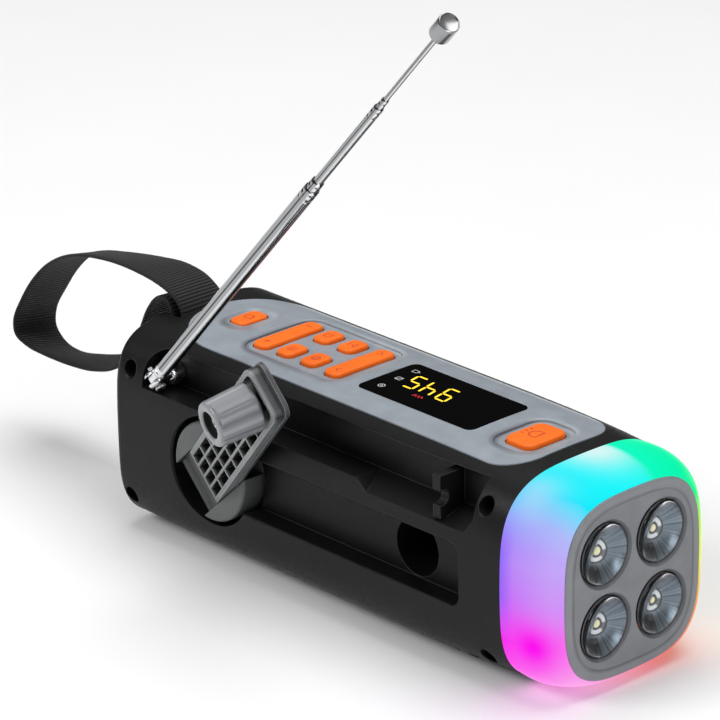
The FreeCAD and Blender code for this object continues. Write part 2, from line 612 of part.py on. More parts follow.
def crank_hub():
    """Drawn face up: the slot for the arm runs along X."""
    face, floor = -SIDE_Y, -SLOT_FLOOR_Y
    back = -WELL_FLOOR_Y + 0.6
    disc = Part.makeCylinder(HUB_R, face - back, V(0, 0, back))
    rim = [e for e in disc.Edges if e.CenterOfMass.z > face - 0.01]
    disc = disc.makeFillet(1.0, rim)
    slot = box(-HUB_R - 1, HUB_R + 1, -SLOT_WIDTH / 2, SLOT_WIDTH / 2, floor, face + 1)
    bore = Part.makeCylinder(PIN_R, 2 * (SLOT_WIDTH / 2 + 2.2), V(-PIN_OFFSET, -SLOT_WIDTH / 2 - 2.2, -PIN_Y),
                             V(0, 1, 0))
    socket = Part.makeCylinder(SHAFT_R, 3.0, V(0, 0, back - 0.1))
    return placed(disc.cut([slot, bore, socket]), hub_matrix())


def crank_hinge_pin():
    half = SLOT_WIDTH / 2 + 2.1
    return placed(Part.makeCylinder(PIN_R, 2 * half, V(-PIN_OFFSET, -half, -PIN_Y), V(0, 1, 0)), hub_matrix())


def crank_shaft():
    shaft = rod_y(SHAFT_R, HUB_X, HUB_Z, WELL_FLOOR_Y - 3.5, CRANK_GEAR_Y[1] + 0.5)
    return fuse(shaft, rod_y(2.0, HUB_X, HUB_Z, CRANK_GEAR_Y[1], GEAR_PLATE_Y[1]))


def crank_arm():
    """Drawn flat, from the hinge pin along X: a rim, a lattice of ribs and a boss for the knob."""
    root, half = 9.7, ARM_WIDTH / 2
    plate = box(0, ARM_RIM, -half, half, ARM_MID, ARM_FRONT)
    ends = [e for e in plate.Edges
            if abs(e.Vertexes[0].Z - e.Vertexes[1].Z) > 0.1 and e.Vertexes[0].X > 1]
    plate = plate.makeFillet(3.5, ends)
    barrel = Part.makeCylinder(-ARM_BACK, ARM_WIDTH, V(0, -half, 0), V(0, 1, 0))
    web = box(0, root, -half, half, ARM_BACK, ARM_MID)
    arm = fuse(plate, barrel, web)
    side, rib, columns, rows = 1.8, 0.9, 4, 6
    field_end = KNOB_AT - 10.6
    cell_w = (ARM_WIDTH - 2 * side - (columns - 1) * rib) / columns
    cell_l = (field_end - root - (rows - 1) * rib) / rows
    cuts = []
    for row in range(rows):
        for column in range(columns):
            x = root + row * (cell_l + rib)
            y = -half + side + column * (cell_w + rib)
            cuts.append(box(x, x + cell_l, y, y + cell_w, ARM_MID - 1, ARM_FRONT + 1))
    pan = box(field_end + rib, ARM_RIM - side, -half + side, half - side, ARM_FRONT - 1.6, ARM_FRONT + 1)
    pan_ends = [e for e in pan.Edges
                if abs(e.Vertexes[0].Z - e.Vertexes[1].Z) > 0.1 and e.Vertexes[0].X > field_end + 5]
    pan = pan.makeFillet(2.4, pan_ends)
    boss = Part.makeCylinder(3.2, 1.9, V(KNOB_AT, 0, ARM_FRONT - 1.7))
    pin_bore = Part.makeCylinder(PIN_R + 0.05, ARM_WIDTH + 2, V(0, -half - 1, 0), V(0, 1, 0))
    screw_bore = Part.makeCylinder(1.5, 20, V(KNOB_AT, 0, -10))
    return placed(fuse(arm.cut(cuts + [pan]), boss).cut([pin_bore, screw_bore]), arm_matrix())


def crank_arm_cover():
    half = ARM_WIDTH / 2 + 0.25
    plate = box(9.75, ARM_RIM + 2.0, -half, half, ARM_BACK, ARM_MID)
    ends = [e for e in plate.Edges
            if abs(e.Vertexes[0].Z - e.Vertexes[1].Z) > 0.1 and e.Vertexes[0].X > 20]
    plate = plate.makeFillet(4.2, ends)
    return placed(plate.cut(Part.makeCylinder(1.5, 20, V(KNOB_AT, 0, -10))), arm_matrix())


def crank_knob():
    """A tapered grip with shallow flutes and a deep hole that sinks its screw."""
    base = ARM_FRONT + 0.5
    grip = Part.makeCone(KNOB_BASE_R, KNOB_TIP_R, KNOB_LENGTH, V(KNOB_AT, 0, base))
    rims = [e for e in grip.Edges if e.CenterOfMass.z > base + 1 and len(e.Vertexes) == 1 and
            abs(e.CenterOfMass.z - base - KNOB_LENGTH) < 0.01]
    grip = grip.makeFillet(1.0, rims)
    flutes = []
    for i in range(12):
        angle = 2 * math.pi * i / 12
        reach = KNOB_BASE_R + 0.9
        at = V(KNOB_AT + reach * math.cos(angle), reach * math.sin(angle), base + 1.4)
        flutes.append(Part.makeCylinder(1.25, KNOB_LENGTH, at))
    well = Part.makeCylinder(3.4, KNOB_LENGTH - 3.0, V(KNOB_AT, 0, base + 3.0))
    bore = Part.makeCylinder(1.55, 10, V(KNOB_AT, 0, base - 1))
    return placed(grip.cut(flutes + [well, bore]), arm_matrix())


def knob_screw():
    base = ARM_FRONT + 0.5
    shank = Part.makeCylinder(1.48, base + 3.4 - ARM_BACK - 0.2, V(KNOB_AT, 0, ARM_BACK + 0.2))
    head = Part.makeCylinder(2.9, 2.0, V(KNOB_AT, 0, base + 3.3))
    drive = box(KNOB_AT - 0.4, KNOB_AT + 0.4, -1.9, 1.9, base + 4.4, base + 6)
    cross = box(KNOB_AT - 1.9, KNOB_AT + 1.9, -0.4, 0.4, base + 4.4, base + 6)
    return placed(fuse(shank, head).cut([drive, cross]), arm_matrix())


# ---- gears and generator -----------------------------------------------------------
def gear_outline(teeth, centre_x, y, first_tooth):
    """One closed outline of a spur gear; first_tooth is the direction of a tooth's middle."""
    pitch_r = MODULE * teeth / 2
    base_r = pitch_r * math.cos(PRESSURE)
    tip_r, root_r = pitch_r + 0.9 * MODULE, pitch_r - 1.15 * MODULE
    half_tooth = math.pi / (2 * teeth) - BACKLASH / (2 * pitch_r)
    at_pitch = math.tan(PRESSURE) - PRESSURE
    flank = []
    start = max(base_r, root_r)
    for i in range(4):
        r = start + (tip_r - start) * i / 3
        steep = math.acos(min(1.0, base_r / r))
        flank.append((r, half_tooth + at_pitch - (math.tan(steep) - steep)))
    if root_r < base_r:
        flank.insert(0, (root_r, flank[0][1]))
    points = []
    for tooth in range(teeth):
        middle = first_tooth + 2 * math.pi * tooth / teeth
        side = [(r, middle - a) for r, a in flank] + [(r, middle + a) for r, a in reversed(flank)]
        points += [V(centre_x + r * math.cos(a), y, HUB_Z + r * math.sin(a)) for r, a in side]
    return Part.Face(Part.makePolygon(points + points[:1]))


def gear(teeth, centre_x, span, first_tooth):
    return gear_outline(teeth, centre_x, span[0], first_tooth).extrude(V(0, span[1] - span[0], 0))


def crank_gear():
    wheel = gear(CRANK_TEETH, HUB_X, CRANK_GEAR_Y, 0.0)
    windows = []
    for i in range(5):
        angle = 2 * math.pi * (i + 0.5) / 5
        windows.append(rod_y(3.6, HUB_X + 10.5 * math.cos(angle), HUB_Z + 10.5 * math.sin(angle), -30, 0))
    return wheel.cut(windows + [rod_y(SHAFT_R, HUB_X, HUB_Z, -30, 0)])


def idler_gear():
    """A pinion in mesh with the crank gear, and a wheel in mesh with the rotor, on one shaft."""
    pinion = gear(IDLER_PINION_TEETH, IDLER_X, (CRANK_GEAR_Y[0] - 0.5, CRANK_GEAR_Y[1] + 1.0), 0.0)
    wheel = gear(IDLER_TEETH, IDLER_X, IDLER_GEAR_Y, 0.0)
    shaft = rod_y(1.5, IDLER_X, HUB_Z, IDLER_BOSS_Y - 3, GEAR_PLATE_Y[1])
    collar = rod_y(4.0, IDLER_X, HUB_Z, CRANK_GEAR_Y[1] + 1.0, IDLER_GEAR_Y[0])
    return fuse(pinion, wheel, shaft, collar)


def generator_rotor():
    """The rotor's pinion has a gap, not a tooth, towards the idler gear."""
    span = (IDLER_GEAR_Y[0] - 0.5, IDLER_GEAR_Y[1] + 0.5)
    pinion = gear(ROTOR_TEETH, ROTOR_X, span, math.pi + math.pi / ROTOR_TEETH)
    shaft = rod_y(1.5, ROTOR_X, HUB_Z, -18.0, 14.0)
    magnet = rod_y(9.0, ROTOR_X, HUB_Z, -4.0, 8.0)
    return fuse(pinion, shaft, magnet)


def generator_stator():
    case = rod_y(14.0, ROTOR_X, HUB_Z, GEAR_PLATE_Y[1], 11.0)
    hollow = rod_y(9.4, ROTOR_X, HUB_Z, -5.5, 9.0)
    bore = rod_y(1.55, ROTOR_X, HUB_Z, -20, 20)
    return case.cut([hollow, bore])


def gear_plate():
    plate = rounded_side_cut(HUB_X - 22, ROTOR_X + 17, HUB_Z - 19, HUB_Z + 19, 5.0, *GEAR_PLATE_Y)
    bores = [rod_y(r, x, HUB_Z, -20, 0) for r, x in ((2.05, HUB_X), (1.55, IDLER_X), (1.8, ROTOR_X))]
    posts = []
    for x in (HUB_X - 19, ROTOR_X + 13.5):
        for z in (HUB_Z - 16, HUB_Z + 16):
            end = UPPER_POST_Y if z > HUB_Z else LOWER_POST_Y
            posts.append(rod_y(2.4, x, z, end, GEAR_PLATE_Y[0]))
    return fuse(plate, *posts).cut(bores)


# ---- antenna -----------------------------------------------------------------------
def antenna_matrix():
    tilt = math.radians(ANTENNA_TILT)
    flat, across = side_axes(ANTENNA_ANGLE)
    along = flat * math.cos(tilt) + OUTWARD * math.sin(tilt)
    return frame_matrix(HINGE, along, across, along.cross(across))


def antenna_stud():
    """Drawn with the fork facing up Z and the tilt pin along Y, then turned to the antenna."""
    depth = -HINGE.y
    base_top = depth - 4.5
    base_z = -GROOVE_BACK_Y + 0.3
    base = Part.makeCylinder(4.3, base_top - base_z, V(0, 0, base_z))
    shank = Part.makeCylinder(2.95, base_z - 20.4, V(0, 0, 20.4))
    cheeks = []
    for y0, y1 in ((-3.2, -1.6), (1.6, 3.2)):
        cheek = box(-3.8, 3.8, y0, y1, base_top - 0.5, depth)
        crown = Part.makeCylinder(3.8, y1 - y0, V(0, y0, depth), V(0, 1, 0))
        cheeks += [cheek, crown]
    bore = Part.makeCylinder(0.9, 12, V(0, -6, depth), V(0, 1, 0))
    stud = fuse(base, shank, *cheeks).common(Part.makeCylinder(4.3, 60, V(0, 0, 0))).cut(bore)
    return placed(stud, frame_matrix(V(HINGE.x, 0, HINGE.z), *side_axes(ANTENNA_ANGLE), OUTWARD))


def antenna_nut():
    nut = rod_y(4.6, HINGE.x, HINGE.z, -23.2, -20.9)
    return nut.cut(rod_y(2.95, HINGE.x, HINGE.z, -30, 0))


def antenna_screw():
    """The pin that the tube tilts on, with a slotted head on one cheek."""
    pin = Part.makeCylinder(0.9, 7.6, V(0, -3.4, 0), V(0, 1, 0))
    head = Part.makeCylinder(1.9, 0.8, V(0, -4.05, 0), V(0, 1, 0))
    slot = box(-0.25, 0.25, -5, -3.7, -3, 3)
    return placed(fuse(pin, head).cut(slot), frame_matrix(HINGE, *side_axes(ANTENNA_ANGLE), OUTWARD))


def antenna_tube(radius, bore_r, start, end):
    tube = Part.makeCylinder(radius, end - start, V(start, 0, 0), V(1, 0, 0))
    mouth = [e for e in tube.Edges if abs(e.CenterOfMass.x - end) < 0.01]
    tube = tube.makeFillet(min(0.35, (radius - bore_r) * 0.8), mouth)
    return tube.cut(Part.makeCylinder(bore_r, end - start, V(start, 0, 0), V(1, 0, 0)))


def antenna_tubes():
    for name, radius, bore_r, start, end in TUBES:
        if name == "antenna_tube_1":
            tube = antenna_tube(radius, bore_r, start + 8, end)
            plug = Part.makeCylinder(radius, 8.0, V(start, 0, 0), V(1, 0, 0))
            tongue = box(0, start + 2, -1.4, 1.4, -2.4, 2.4)
            eye = Part.makeCylinder(2.4, 2.8, V(0, -1.4, 0), V(0, 1, 0))
            bore = Part.makeCylinder(0.95, 8, V(0, -4, 0), V(0, 1, 0))
            tube = fuse(tube, plug, tongue, eye).cut(bore)
        else:
            tube = antenna_tube(radius, bore_r, start, end)
        save(name, placed(tube, antenna_matrix()))


def antenna_rod():
    rod = Part.makeCylinder(ROD_R, ROD_END - ROD_START, V(ROD_START, 0, 0), V(1, 0, 0))
    return placed(rod, antenna_matrix())


def antenna_tip():
    cap = Part.makeCylinder(TIP_R, TIP_LENGTH, V(ROD_END, 0, 0), V(1, 0, 0))
    rims = [e for e in cap.Edges if len(e.Vertexes) == 1]
    return placed(cap.makeFillet(0.7, rims), antenna_matrix())


# ---- strap -------------------------------------------------------------------------
def wrist_strap():
    """A closed loop of webbing that passes round the bar at the rear."""
    turn = BAR_R + 0.2 + STRAP_THICK / 2
    round_bar = [(BAR.x - turn * math.cos(math.radians(a)), BAR.z - turn * math.sin(math.radians(a)))
                 for a in (0, 45, 90, 135, 180)]
    points = [V(x, STRAP_Y0, z) for x, z in list(STRAP_PATH) + round_bar]
    centre = Part.BSplineCurve()
    centre.interpolate(points, PeriodicFlag=True)
    first, last = centre.FirstParameter, centre.LastParameter
    sides = []
    steps = 96
    for side in (-1, 1):
        line = []
        for i in range(steps):
            at = first + (last - first) * i / steps
            along = centre.tangent(at)[0]
            line.append(centre.value(at) + V(-along.z, 0, along.x) * side * STRAP_THICK / 2)
        curve = Part.BSplineCurve()
        curve.interpolate(line, PeriodicFlag=True)
        sides.append(Part.Face(Part.Wire(curve.toShape())))
    big, small = sorted(sides, key=lambda f: f.Area, reverse=True)
    print("strap length", round(centre.length(), 1))
    return big.cut(small).extrude(V(0, STRAP_WIDTH, 0))


def strap_bar():
    return rod_y(BAR_R, BAR.x, BAR.z, STRAP_Y0 - 4.0, STRAP_Y0 + STRAP_WIDTH + 4.0)


# ---- batteries and boards ----------------------------------------------------------
def battery_cells():
    return [rod_x(9.0, -78.0, -13.0, 24.0, z) for z in (18.0, 38.0)]


def battery_tray():
    block = box(-81.0, -10.0, 14.0, 34.5, 6.5, 50.0)
    for z in (18.0, 38.0):
        block = block.cut([rod_x(9.2, -78.2, -12.8, 24.0, z),
                           box(-78.2, -12.8, 24.0, 40.0, z - 9.2, z + 9.2)])
    return block.common(body(WALL + 0.4))


def main_board():
    board = box(7.0, 68.4, -6.0, -4.4, 8.0, 60.0)
    chips = [box(10, 19, -4.4, -3.0, 20, 32), box(20, 28, -4.4, -2.8, 36, 46), box(40, 46, -4.4, 2.0, 14, 24)]
    return fuse(board, *chips)


os.makedirs("parts", exist_ok=True)

left_shell, right_shell = shells()
bar_hole = strap_bar()
save("left_shell", left_shell.cut(bar_hole))
save("right_shell", right_shell.cut(bar_hole))
save("housing_screws", *[screw(x, z) for x, z in SCREWS])
save("base_cover", base_cover())
save("charging_sockets", *socket_shells())
save("port_cover", port_cover())
save("speaker", speaker())
save("speaker_grille", speaker_grille())
save("solar_panel", solar_panel())

save("top_panel", top_panel())
for name, x, y, size, corner in BUTTONS:
    save(name, button(x, y, size, corner))
save("display_window", display_window())
save("display_module", display_module())
save("button_board", *button_board())

save("light_ring", light_ring())
save("lamp_bezel", lamp_bezel())
save("lamp_lenses", *[lamp_lens(y, z) for y, z in lens_places()])
save("lamp_reflectors", *[reflector(y, z) for y, z in lens_places()])
save("lamp_leds", *[lamp_led(y, z) for y, z in lens_places()])
save("lamp_board", lamp_board())
save("ring_board", ring_board())
save("ring_lights", *ring_lights())

save("crank_hub", crank_hub())
save("crank_hinge_pin", crank_hinge_pin())
save("crank_shaft", crank_shaft())
save("crank_gear", crank_gear())
save("crank_arm", crank_arm())
save("crank_arm_cover", crank_arm_cover())
save("crank_knob", crank_knob())
save("knob_screw", knob_screw())
save("idler_gear", idler_gear())
save("generator_rotor", generator_rotor())
save("generator_stator", generator_stator())
save("gear_plate", gear_plate())

save("antenna_stud", antenna_stud())
save("antenna_nut", antenna_nut())
save("antenna_screw", antenna_screw())
antenna_tubes()
save("antenna_rod", antenna_rod())
save("antenna_tip", antenna_tip())

save("wrist_strap", wrist_strap())
save("strap_bar", strap_bar())
save("battery_cells", *battery_cells())
save("battery_tray", battery_tray())
save("main_board", main_board())
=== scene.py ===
"""Looks for the hand-crank emergency radio: a material for every CAD node, and finer pieces over some."""
import math

import bmesh
import bpy
import numpy as np
from mathutils import Matrix, Vector


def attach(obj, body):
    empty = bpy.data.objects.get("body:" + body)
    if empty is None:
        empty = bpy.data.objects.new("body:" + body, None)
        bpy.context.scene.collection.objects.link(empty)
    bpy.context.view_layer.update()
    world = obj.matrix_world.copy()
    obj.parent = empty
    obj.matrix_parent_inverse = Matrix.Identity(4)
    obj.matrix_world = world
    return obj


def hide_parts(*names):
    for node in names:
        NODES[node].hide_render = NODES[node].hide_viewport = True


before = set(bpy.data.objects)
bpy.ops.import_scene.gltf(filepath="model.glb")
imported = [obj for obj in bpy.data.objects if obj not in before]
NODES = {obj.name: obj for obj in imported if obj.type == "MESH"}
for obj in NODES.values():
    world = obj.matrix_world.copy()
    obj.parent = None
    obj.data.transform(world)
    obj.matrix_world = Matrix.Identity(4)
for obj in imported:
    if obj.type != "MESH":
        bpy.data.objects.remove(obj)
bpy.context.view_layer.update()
MM = 0.001

# ---- the form that several pieces share, in mm ---------------------------------------
BODY_Z, HALF_W, HALF_H = 37.5, 38.0, 36.5
SQUARENESS = 4.2
HINGE = Vector((-86.5, -36.0, 60.7))            # the antenna's tilt pin
LAMP_Z, LENS_OFF, LENS_R = 36.8, 12.75, 10.22   # middle of the lamp's face, each lens from it, and its radius
WINDOW_TOP = 74.33                              # where the display's signs lie, just over its window


def top_z(y, proud=0.0):
    """Height of the body's top surface at y, raised by proud."""
    share = min(abs(y) / (HALF_W + proud), 0.999)
    return BODY_Z + (HALF_H + proud) * (1 - share ** SQUARENESS) ** (1 / SQUARENESS)


def linear(r, g, b):
    """An 8-bit display colour as linear light."""
    return [((c / 255 + 0.055) / 1.055) ** 2.4 if c > 10 else c / 255 / 12.92 for c in (r, g, b)]


# ---- materials ------------------------------------------------------------------------
class Look:
    """A Principled material and the few nodes that give it its detail. Lengths are in mm."""

    def __init__(self, name, base, rough, **sockets):
        self.mat = bpy.data.materials.new(name)
        self.mat.use_nodes = True
        self.tree = self.mat.node_tree
        self.shader = self.tree.nodes["Principled BSDF"]
        self.set("Base Color", (*base, 1.0))
        self.set("Roughness", rough)
        for key, value in sockets.items():
            self.set(key.replace("_", " "), value)
        self.normal = None

    def set(self, socket, value):
        self.shader.inputs[socket].default_value = value

    def node(self, kind, **inputs):
        made = self.tree.nodes.new(kind)
        for key, value in inputs.items():
            if hasattr(value, "is_output"):
                self.tree.links.new(value, made.inputs[key])
            else:
                made.inputs[key].default_value = value
        return made

    def link(self, output, socket):
        self.tree.links.new(output, self.shader.inputs[socket])

    def place(self, scale=(1, 1, 1), uv=False):
        """Object coordinates (or UV, both in mm), stretched."""
        source = self.tree.nodes.new("ShaderNodeTexCoord").outputs["UV" if uv else "Object"]
        made = self.node("ShaderNodeMapping", Vector=source)
        unit = 1.0 if uv else 1000.0
        made.inputs["Scale"].default_value = [unit * s for s in scale]
        return made.outputs["Vector"]

    def noise(self, per_mm, detail=3.0, rough=0.55, scale=(1, 1, 1)):
        made = self.node("ShaderNodeTexNoise", Vector=self.place(scale), Scale=per_mm, Detail=detail,
                         Roughness=rough)
        return made.outputs["Fac"]

    def ramp(self, fac, *stops):
        made = self.node("ShaderNodeValToRGB", Fac=fac)
        ramp = made.color_ramp.elements
        while len(ramp) < len(stops):
            ramp.new(0.5)
        for element, (at, colour) in zip(ramp, stops):
            element.position = at
            element.color = (*colour, 1.0) if len(colour) == 3 else colour
        return made.outputs["Color"]

    def span(self, fac, low, high, lo_in=0.3, hi_in=0.7):
        made = self.node("ShaderNodeMapRange", Value=fac)
        for key, value in (("From Min", lo_in), ("From Max", hi_in), ("To Min", low), ("To Max", high)):
            made.inputs[key].default_value = value
        return made.outputs["Result"]

    def math(self, operation, a, b=0.0, c=0.0):
        made = self.tree.nodes.new("ShaderNodeMath")
        made.operation = operation
        for socket, value in zip(made.inputs, (a, b, c)):
            if hasattr(value, "is_output"):
                self.tree.links.new(value, socket)
            else:
                socket.default_value = value
        return made.outputs["Value"]

    def mix(self, fac, a, b):
        made = self.tree.nodes.new("ShaderNodeMix")
        made.data_type = "RGBA"
        for key, value in ((0, fac), (6, a), (7, b)):
            if hasattr(value, "is_output"):
                self.tree.links.new(value, made.inputs[key])
            else:
                made.inputs[key].default_value = value if key == 0 else (*value, 1.0)
        return made.outputs[2]

    def times(self, *factors):
        """The product of several values."""
        made = factors[0]
        for factor in factors[1:]:
            made = self.math("MULTIPLY", made, factor)
        return made

    def xyz(self, centre=(0, 0, 0)):
        """Object position in mm from a centre, as its X, Y and Z."""
        return self.node("ShaderNodeSeparateXYZ", Vector=self.offset(centre)).outputs

    def offset(self, centre):
        """Object position in mm from a centre."""
        made = self.node("ShaderNodeVectorMath", Vector=self.place())
        made.operation = "SUBTRACT"
        made.inputs[1].default_value = centre
        return made.outputs["Vector"]

    def dot(self, vector, axis):
        made = self.node("ShaderNodeVectorMath", Vector=vector)
        made.operation = "DOT_PRODUCT"
        made.inputs[1].default_value = axis
        return made.outputs["Value"]

    def near(self, centre, size):
        """1 at a centre, falling softly to 0 some sizes away."""
        vector = self.node("ShaderNodeVectorMath", Vector=self.offset(centre))
        vector.operation = "LENGTH"
        away = self.math("DIVIDE", vector.outputs["Value"], size)
        return self.math("POWER", math.e, self.times(away, away, -0.5))

    def over(self, fac, colour):
        """Lays a colour over whatever feeds the base colour."""
        under = self.shader.inputs["Base Color"].links[0].from_socket
        self.link(self.mix(fac, under, colour), "Base Color")
        return self

    def line_noise(self, value, count, detail):
        """Noise along one measure."""
        made = self.tree.nodes.new("ShaderNodeTexNoise")
        made.noise_dimensions = "1D"
        self.tree.links.new(value, made.inputs["W"])
        made.inputs["Scale"].default_value, made.inputs["Detail"].default_value = count, detail
        return made.outputs["Fac"]

    def bands(self, origin, across, normal, count, low, high, seed=0.0, sharp=0.5):
        """Long bright and dark bands of painted reflection round an axis, as polished bars show them."""
        vector = self.offset(origin)
        turn = self.math("ARCTAN2", self.dot(vector, across), self.dot(vector, normal))
        fac = self.line_noise(self.math("ADD", self.math("COSINE", turn), seed), count, 2.0)
        self.link(self.ramp(fac, (0.5 - sharp / 4, low), (0.5 + sharp / 4, high)), "Base Color")
        return self

    def round_edges(self, radius):
        """Rounds the look of sharp moulded edges by radius."""
        made = self.tree.nodes.new("ShaderNodeBevel")
        made.samples = 6
        made.inputs["Radius"].default_value = radius * MM
        self.normal = made.outputs["Normal"]
        self.link(self.normal, "Normal")
        return self

    def catch_edges(self, colour, radius=0.35):
        """Lightens the thin lines where moulded edges catch the light."""
        made = self.tree.nodes.new("ShaderNodeBevel")
        made.samples = 6
        made.inputs["Radius"].default_value = radius * MM
        flat = self.tree.nodes.new("ShaderNodeNewGeometry").outputs["Normal"]
        turned_by = self.node("ShaderNodeVectorMath", Vector=made.outputs["Normal"])
        turned_by.operation = "DOT_PRODUCT"
        self.tree.links.new(flat, turned_by.inputs[1])
        return self.over(self.span(turned_by.outputs["Value"], 0.8, 0.0, 0.80, 0.985), colour)

    def bump(self, height, depth, strength=1.0):
        """Adds relief of depth mm."""
        made = self.node("ShaderNodeBump", Height=height, Strength=strength, Distance=depth * MM)
        if self.normal is not None:
            self.tree.links.new(self.normal, made.inputs["Normal"])
        self.normal = made.outputs["Normal"]
        self.link(self.normal, "Normal")
        return self

    def mottle(self, base, amount=0.12, per_mm=0.12):
        """Slow, faint colour variation round a base colour."""
        dark = [c * (1 - amount) for c in base]
        light = [min(c * (1 + amount), 1.0) for c in base]
        self.link(self.ramp(self.noise(per_mm, 4.0), (0.3, dark), (0.7, light)), "Base Color")
        return self

    def roughen(self, low, high, per_mm=0.5):
        self.link(self.span(self.noise(per_mm, 5.0, 0.6), low, high), "Roughness")
        return self


def moulded(name, base, low, high, grain=1.4, depth=0.012, edge=0.35, **sockets):
    """Moulded plastic: eroded grain, faint mottling, uneven gloss and rounded edges."""
    look = Look(name, base, (low + high) / 2, **sockets)
    look.mottle(base, 0.10)
    look.roughen(low, high)
    if edge:
        look.round_edges(edge)
    look.bump(look.noise(grain, 2.0, 0.5), depth, 0.6)
    return look


def rounded_gap(look, x, y, long, wide, corner):
    """Signed distance from a rounded rectangle in the XY plane, negative inside."""
    at = look.xyz((x, y, 0))
    side = [look.math("MAXIMUM", look.math("SUBTRACT", look.math("ABSOLUTE", at[axis]), half - corner), 0.0)
            for axis, half in (("X", long / 2), ("Y", wide / 2))]
    reach = look.math("SQRT", look.math("ADD", *[look.times(gap, gap) for gap in side]))
    return look.math("SUBTRACT", reach, corner)


DISHES = (                  # the panel's dished fields: x, y, length, width, corner radius
    (-40.5, 0, 51.0, 38.0, 8.5),
    (63.0, -2.0, 22.0, 29.0, 9.0),
    (-79.2, 0.6, 14.5, 20.0, 6.0),
)


def panel_look():
    """The panel's grey, with soft slopes down into the dishes round the keys, painted shade and painted
    highlight on those slopes by which way they face, and a painted highlight along the far edge.
    """
    look = moulded("panel grey plastic", (0.262, 0.292, 0.325), 0.32, 0.42, grain=2.4, depth=0.006, edge=0.45,
                   Specular_IOR_Level=0.35)
    height = None
    for x, y, long, wide, corner in DISHES:
        slope = look.node("ShaderNodeMapRange", Value=rounded_gap(look, x, y, long, wide, corner))
        slope.interpolation_type = "SMOOTHSTEP"
        for key, value in (("From Min", -3.4), ("From Max", 1.2), ("To Min", 0.0), ("To Max", 1.0)):
            slope.inputs[key].default_value = value
        rise = slope.outputs["Result"]
        height = rise if height is None else look.math("MINIMUM", height, rise)
        steep = look.times(rise, look.math("SUBTRACT", 1.0, rise), 4.0)
        at = look.xyz((x, y, 0))
        lit_side = look.math("ADD", look.math("DIVIDE", at["X"], long / 2),
                           look.math("DIVIDE", at["Y"], wide / 1.4))
        # painted shade on the dish slopes that face away from the light, painted highlight on those that face
        # it
        look.over(look.times(steep, look.span(lit_side, 0.62, 0.0, -1.1, -0.2)), (0.120, 0.135, 0.155))
        look.over(look.times(steep, look.span(lit_side, 0.0, 0.50, 0.2, 1.1)), (0.46, 0.49, 0.52))
    # painted highlight along the panel's far edge
    look.over(look.span(look.xyz()["Y"], 0.0, 0.75, 22.6, 23.9), (0.52, 0.55, 0.57))
    look.bump(height, 1.5, 1.0)
    return look


def lens_polar(look):
    """Angle and distance from the middle of the nearest of the four lamp lenses."""
    at = look.xyz((0, 0, LAMP_Z))
    y, z = (look.math("SUBTRACT", at[a], look.times(look.math("SIGN", at[a]), LENS_OFF)) for a in "YZ")
    reach = look.math("SQRT", look.math("ADD", look.times(y, y), look.times(z, z)))
    return look.math("ARCTAN2", z, y), reach


def lamp_look():
    """The lamp face: a raised border with a painted highlight and a line of painted shade in its groove, and
    a dark bevelled seat of painted shade round each lens.
    """
    look = moulded("lamp face grey plastic", (0.195, 0.205, 0.222), 0.34, 0.42, grain=2.4, depth=0.003,
                   edge=0.5)
    at = look.xyz((0, 0, LAMP_Z))
    squareness = 3.4
    share = [look.math("POWER", look.math("DIVIDE", look.math("ABSOLUTE", at[a]), half), squareness)
             for a, half in (("Y", 30.8), ("Z", 32.0))]
    edge = look.math("POWER", look.math("ADD", *share), 1 / squareness)
    _, reach = lens_polar(look)
    border = look.span(edge, 0.0, 1.0, 0.875, 0.915)
    look.bump(look.math("ADD", border, look.span(reach, 0.0, 1.0, 10.2, 11.8)), 0.7, 1.0)
    # painted highlight on the raised border
    look.over(look.span(edge, 0.0, 0.30, 0.88, 0.91), (0.30, 0.315, 0.335))
    # a thin line of painted shade in the groove at the border's foot
    groove = look.math("ABSOLUTE", look.math("SUBTRACT", edge, 0.885))
    look.over(look.span(groove, 0.45, 0.0, 0.0, 0.014), (0.075, 0.08, 0.088))
    # painted shade in the seat round each lens
    look.over(look.span(reach, 0.93, 0.0, 10.7, 11.1), (0.020, 0.021, 0.023))
    return look


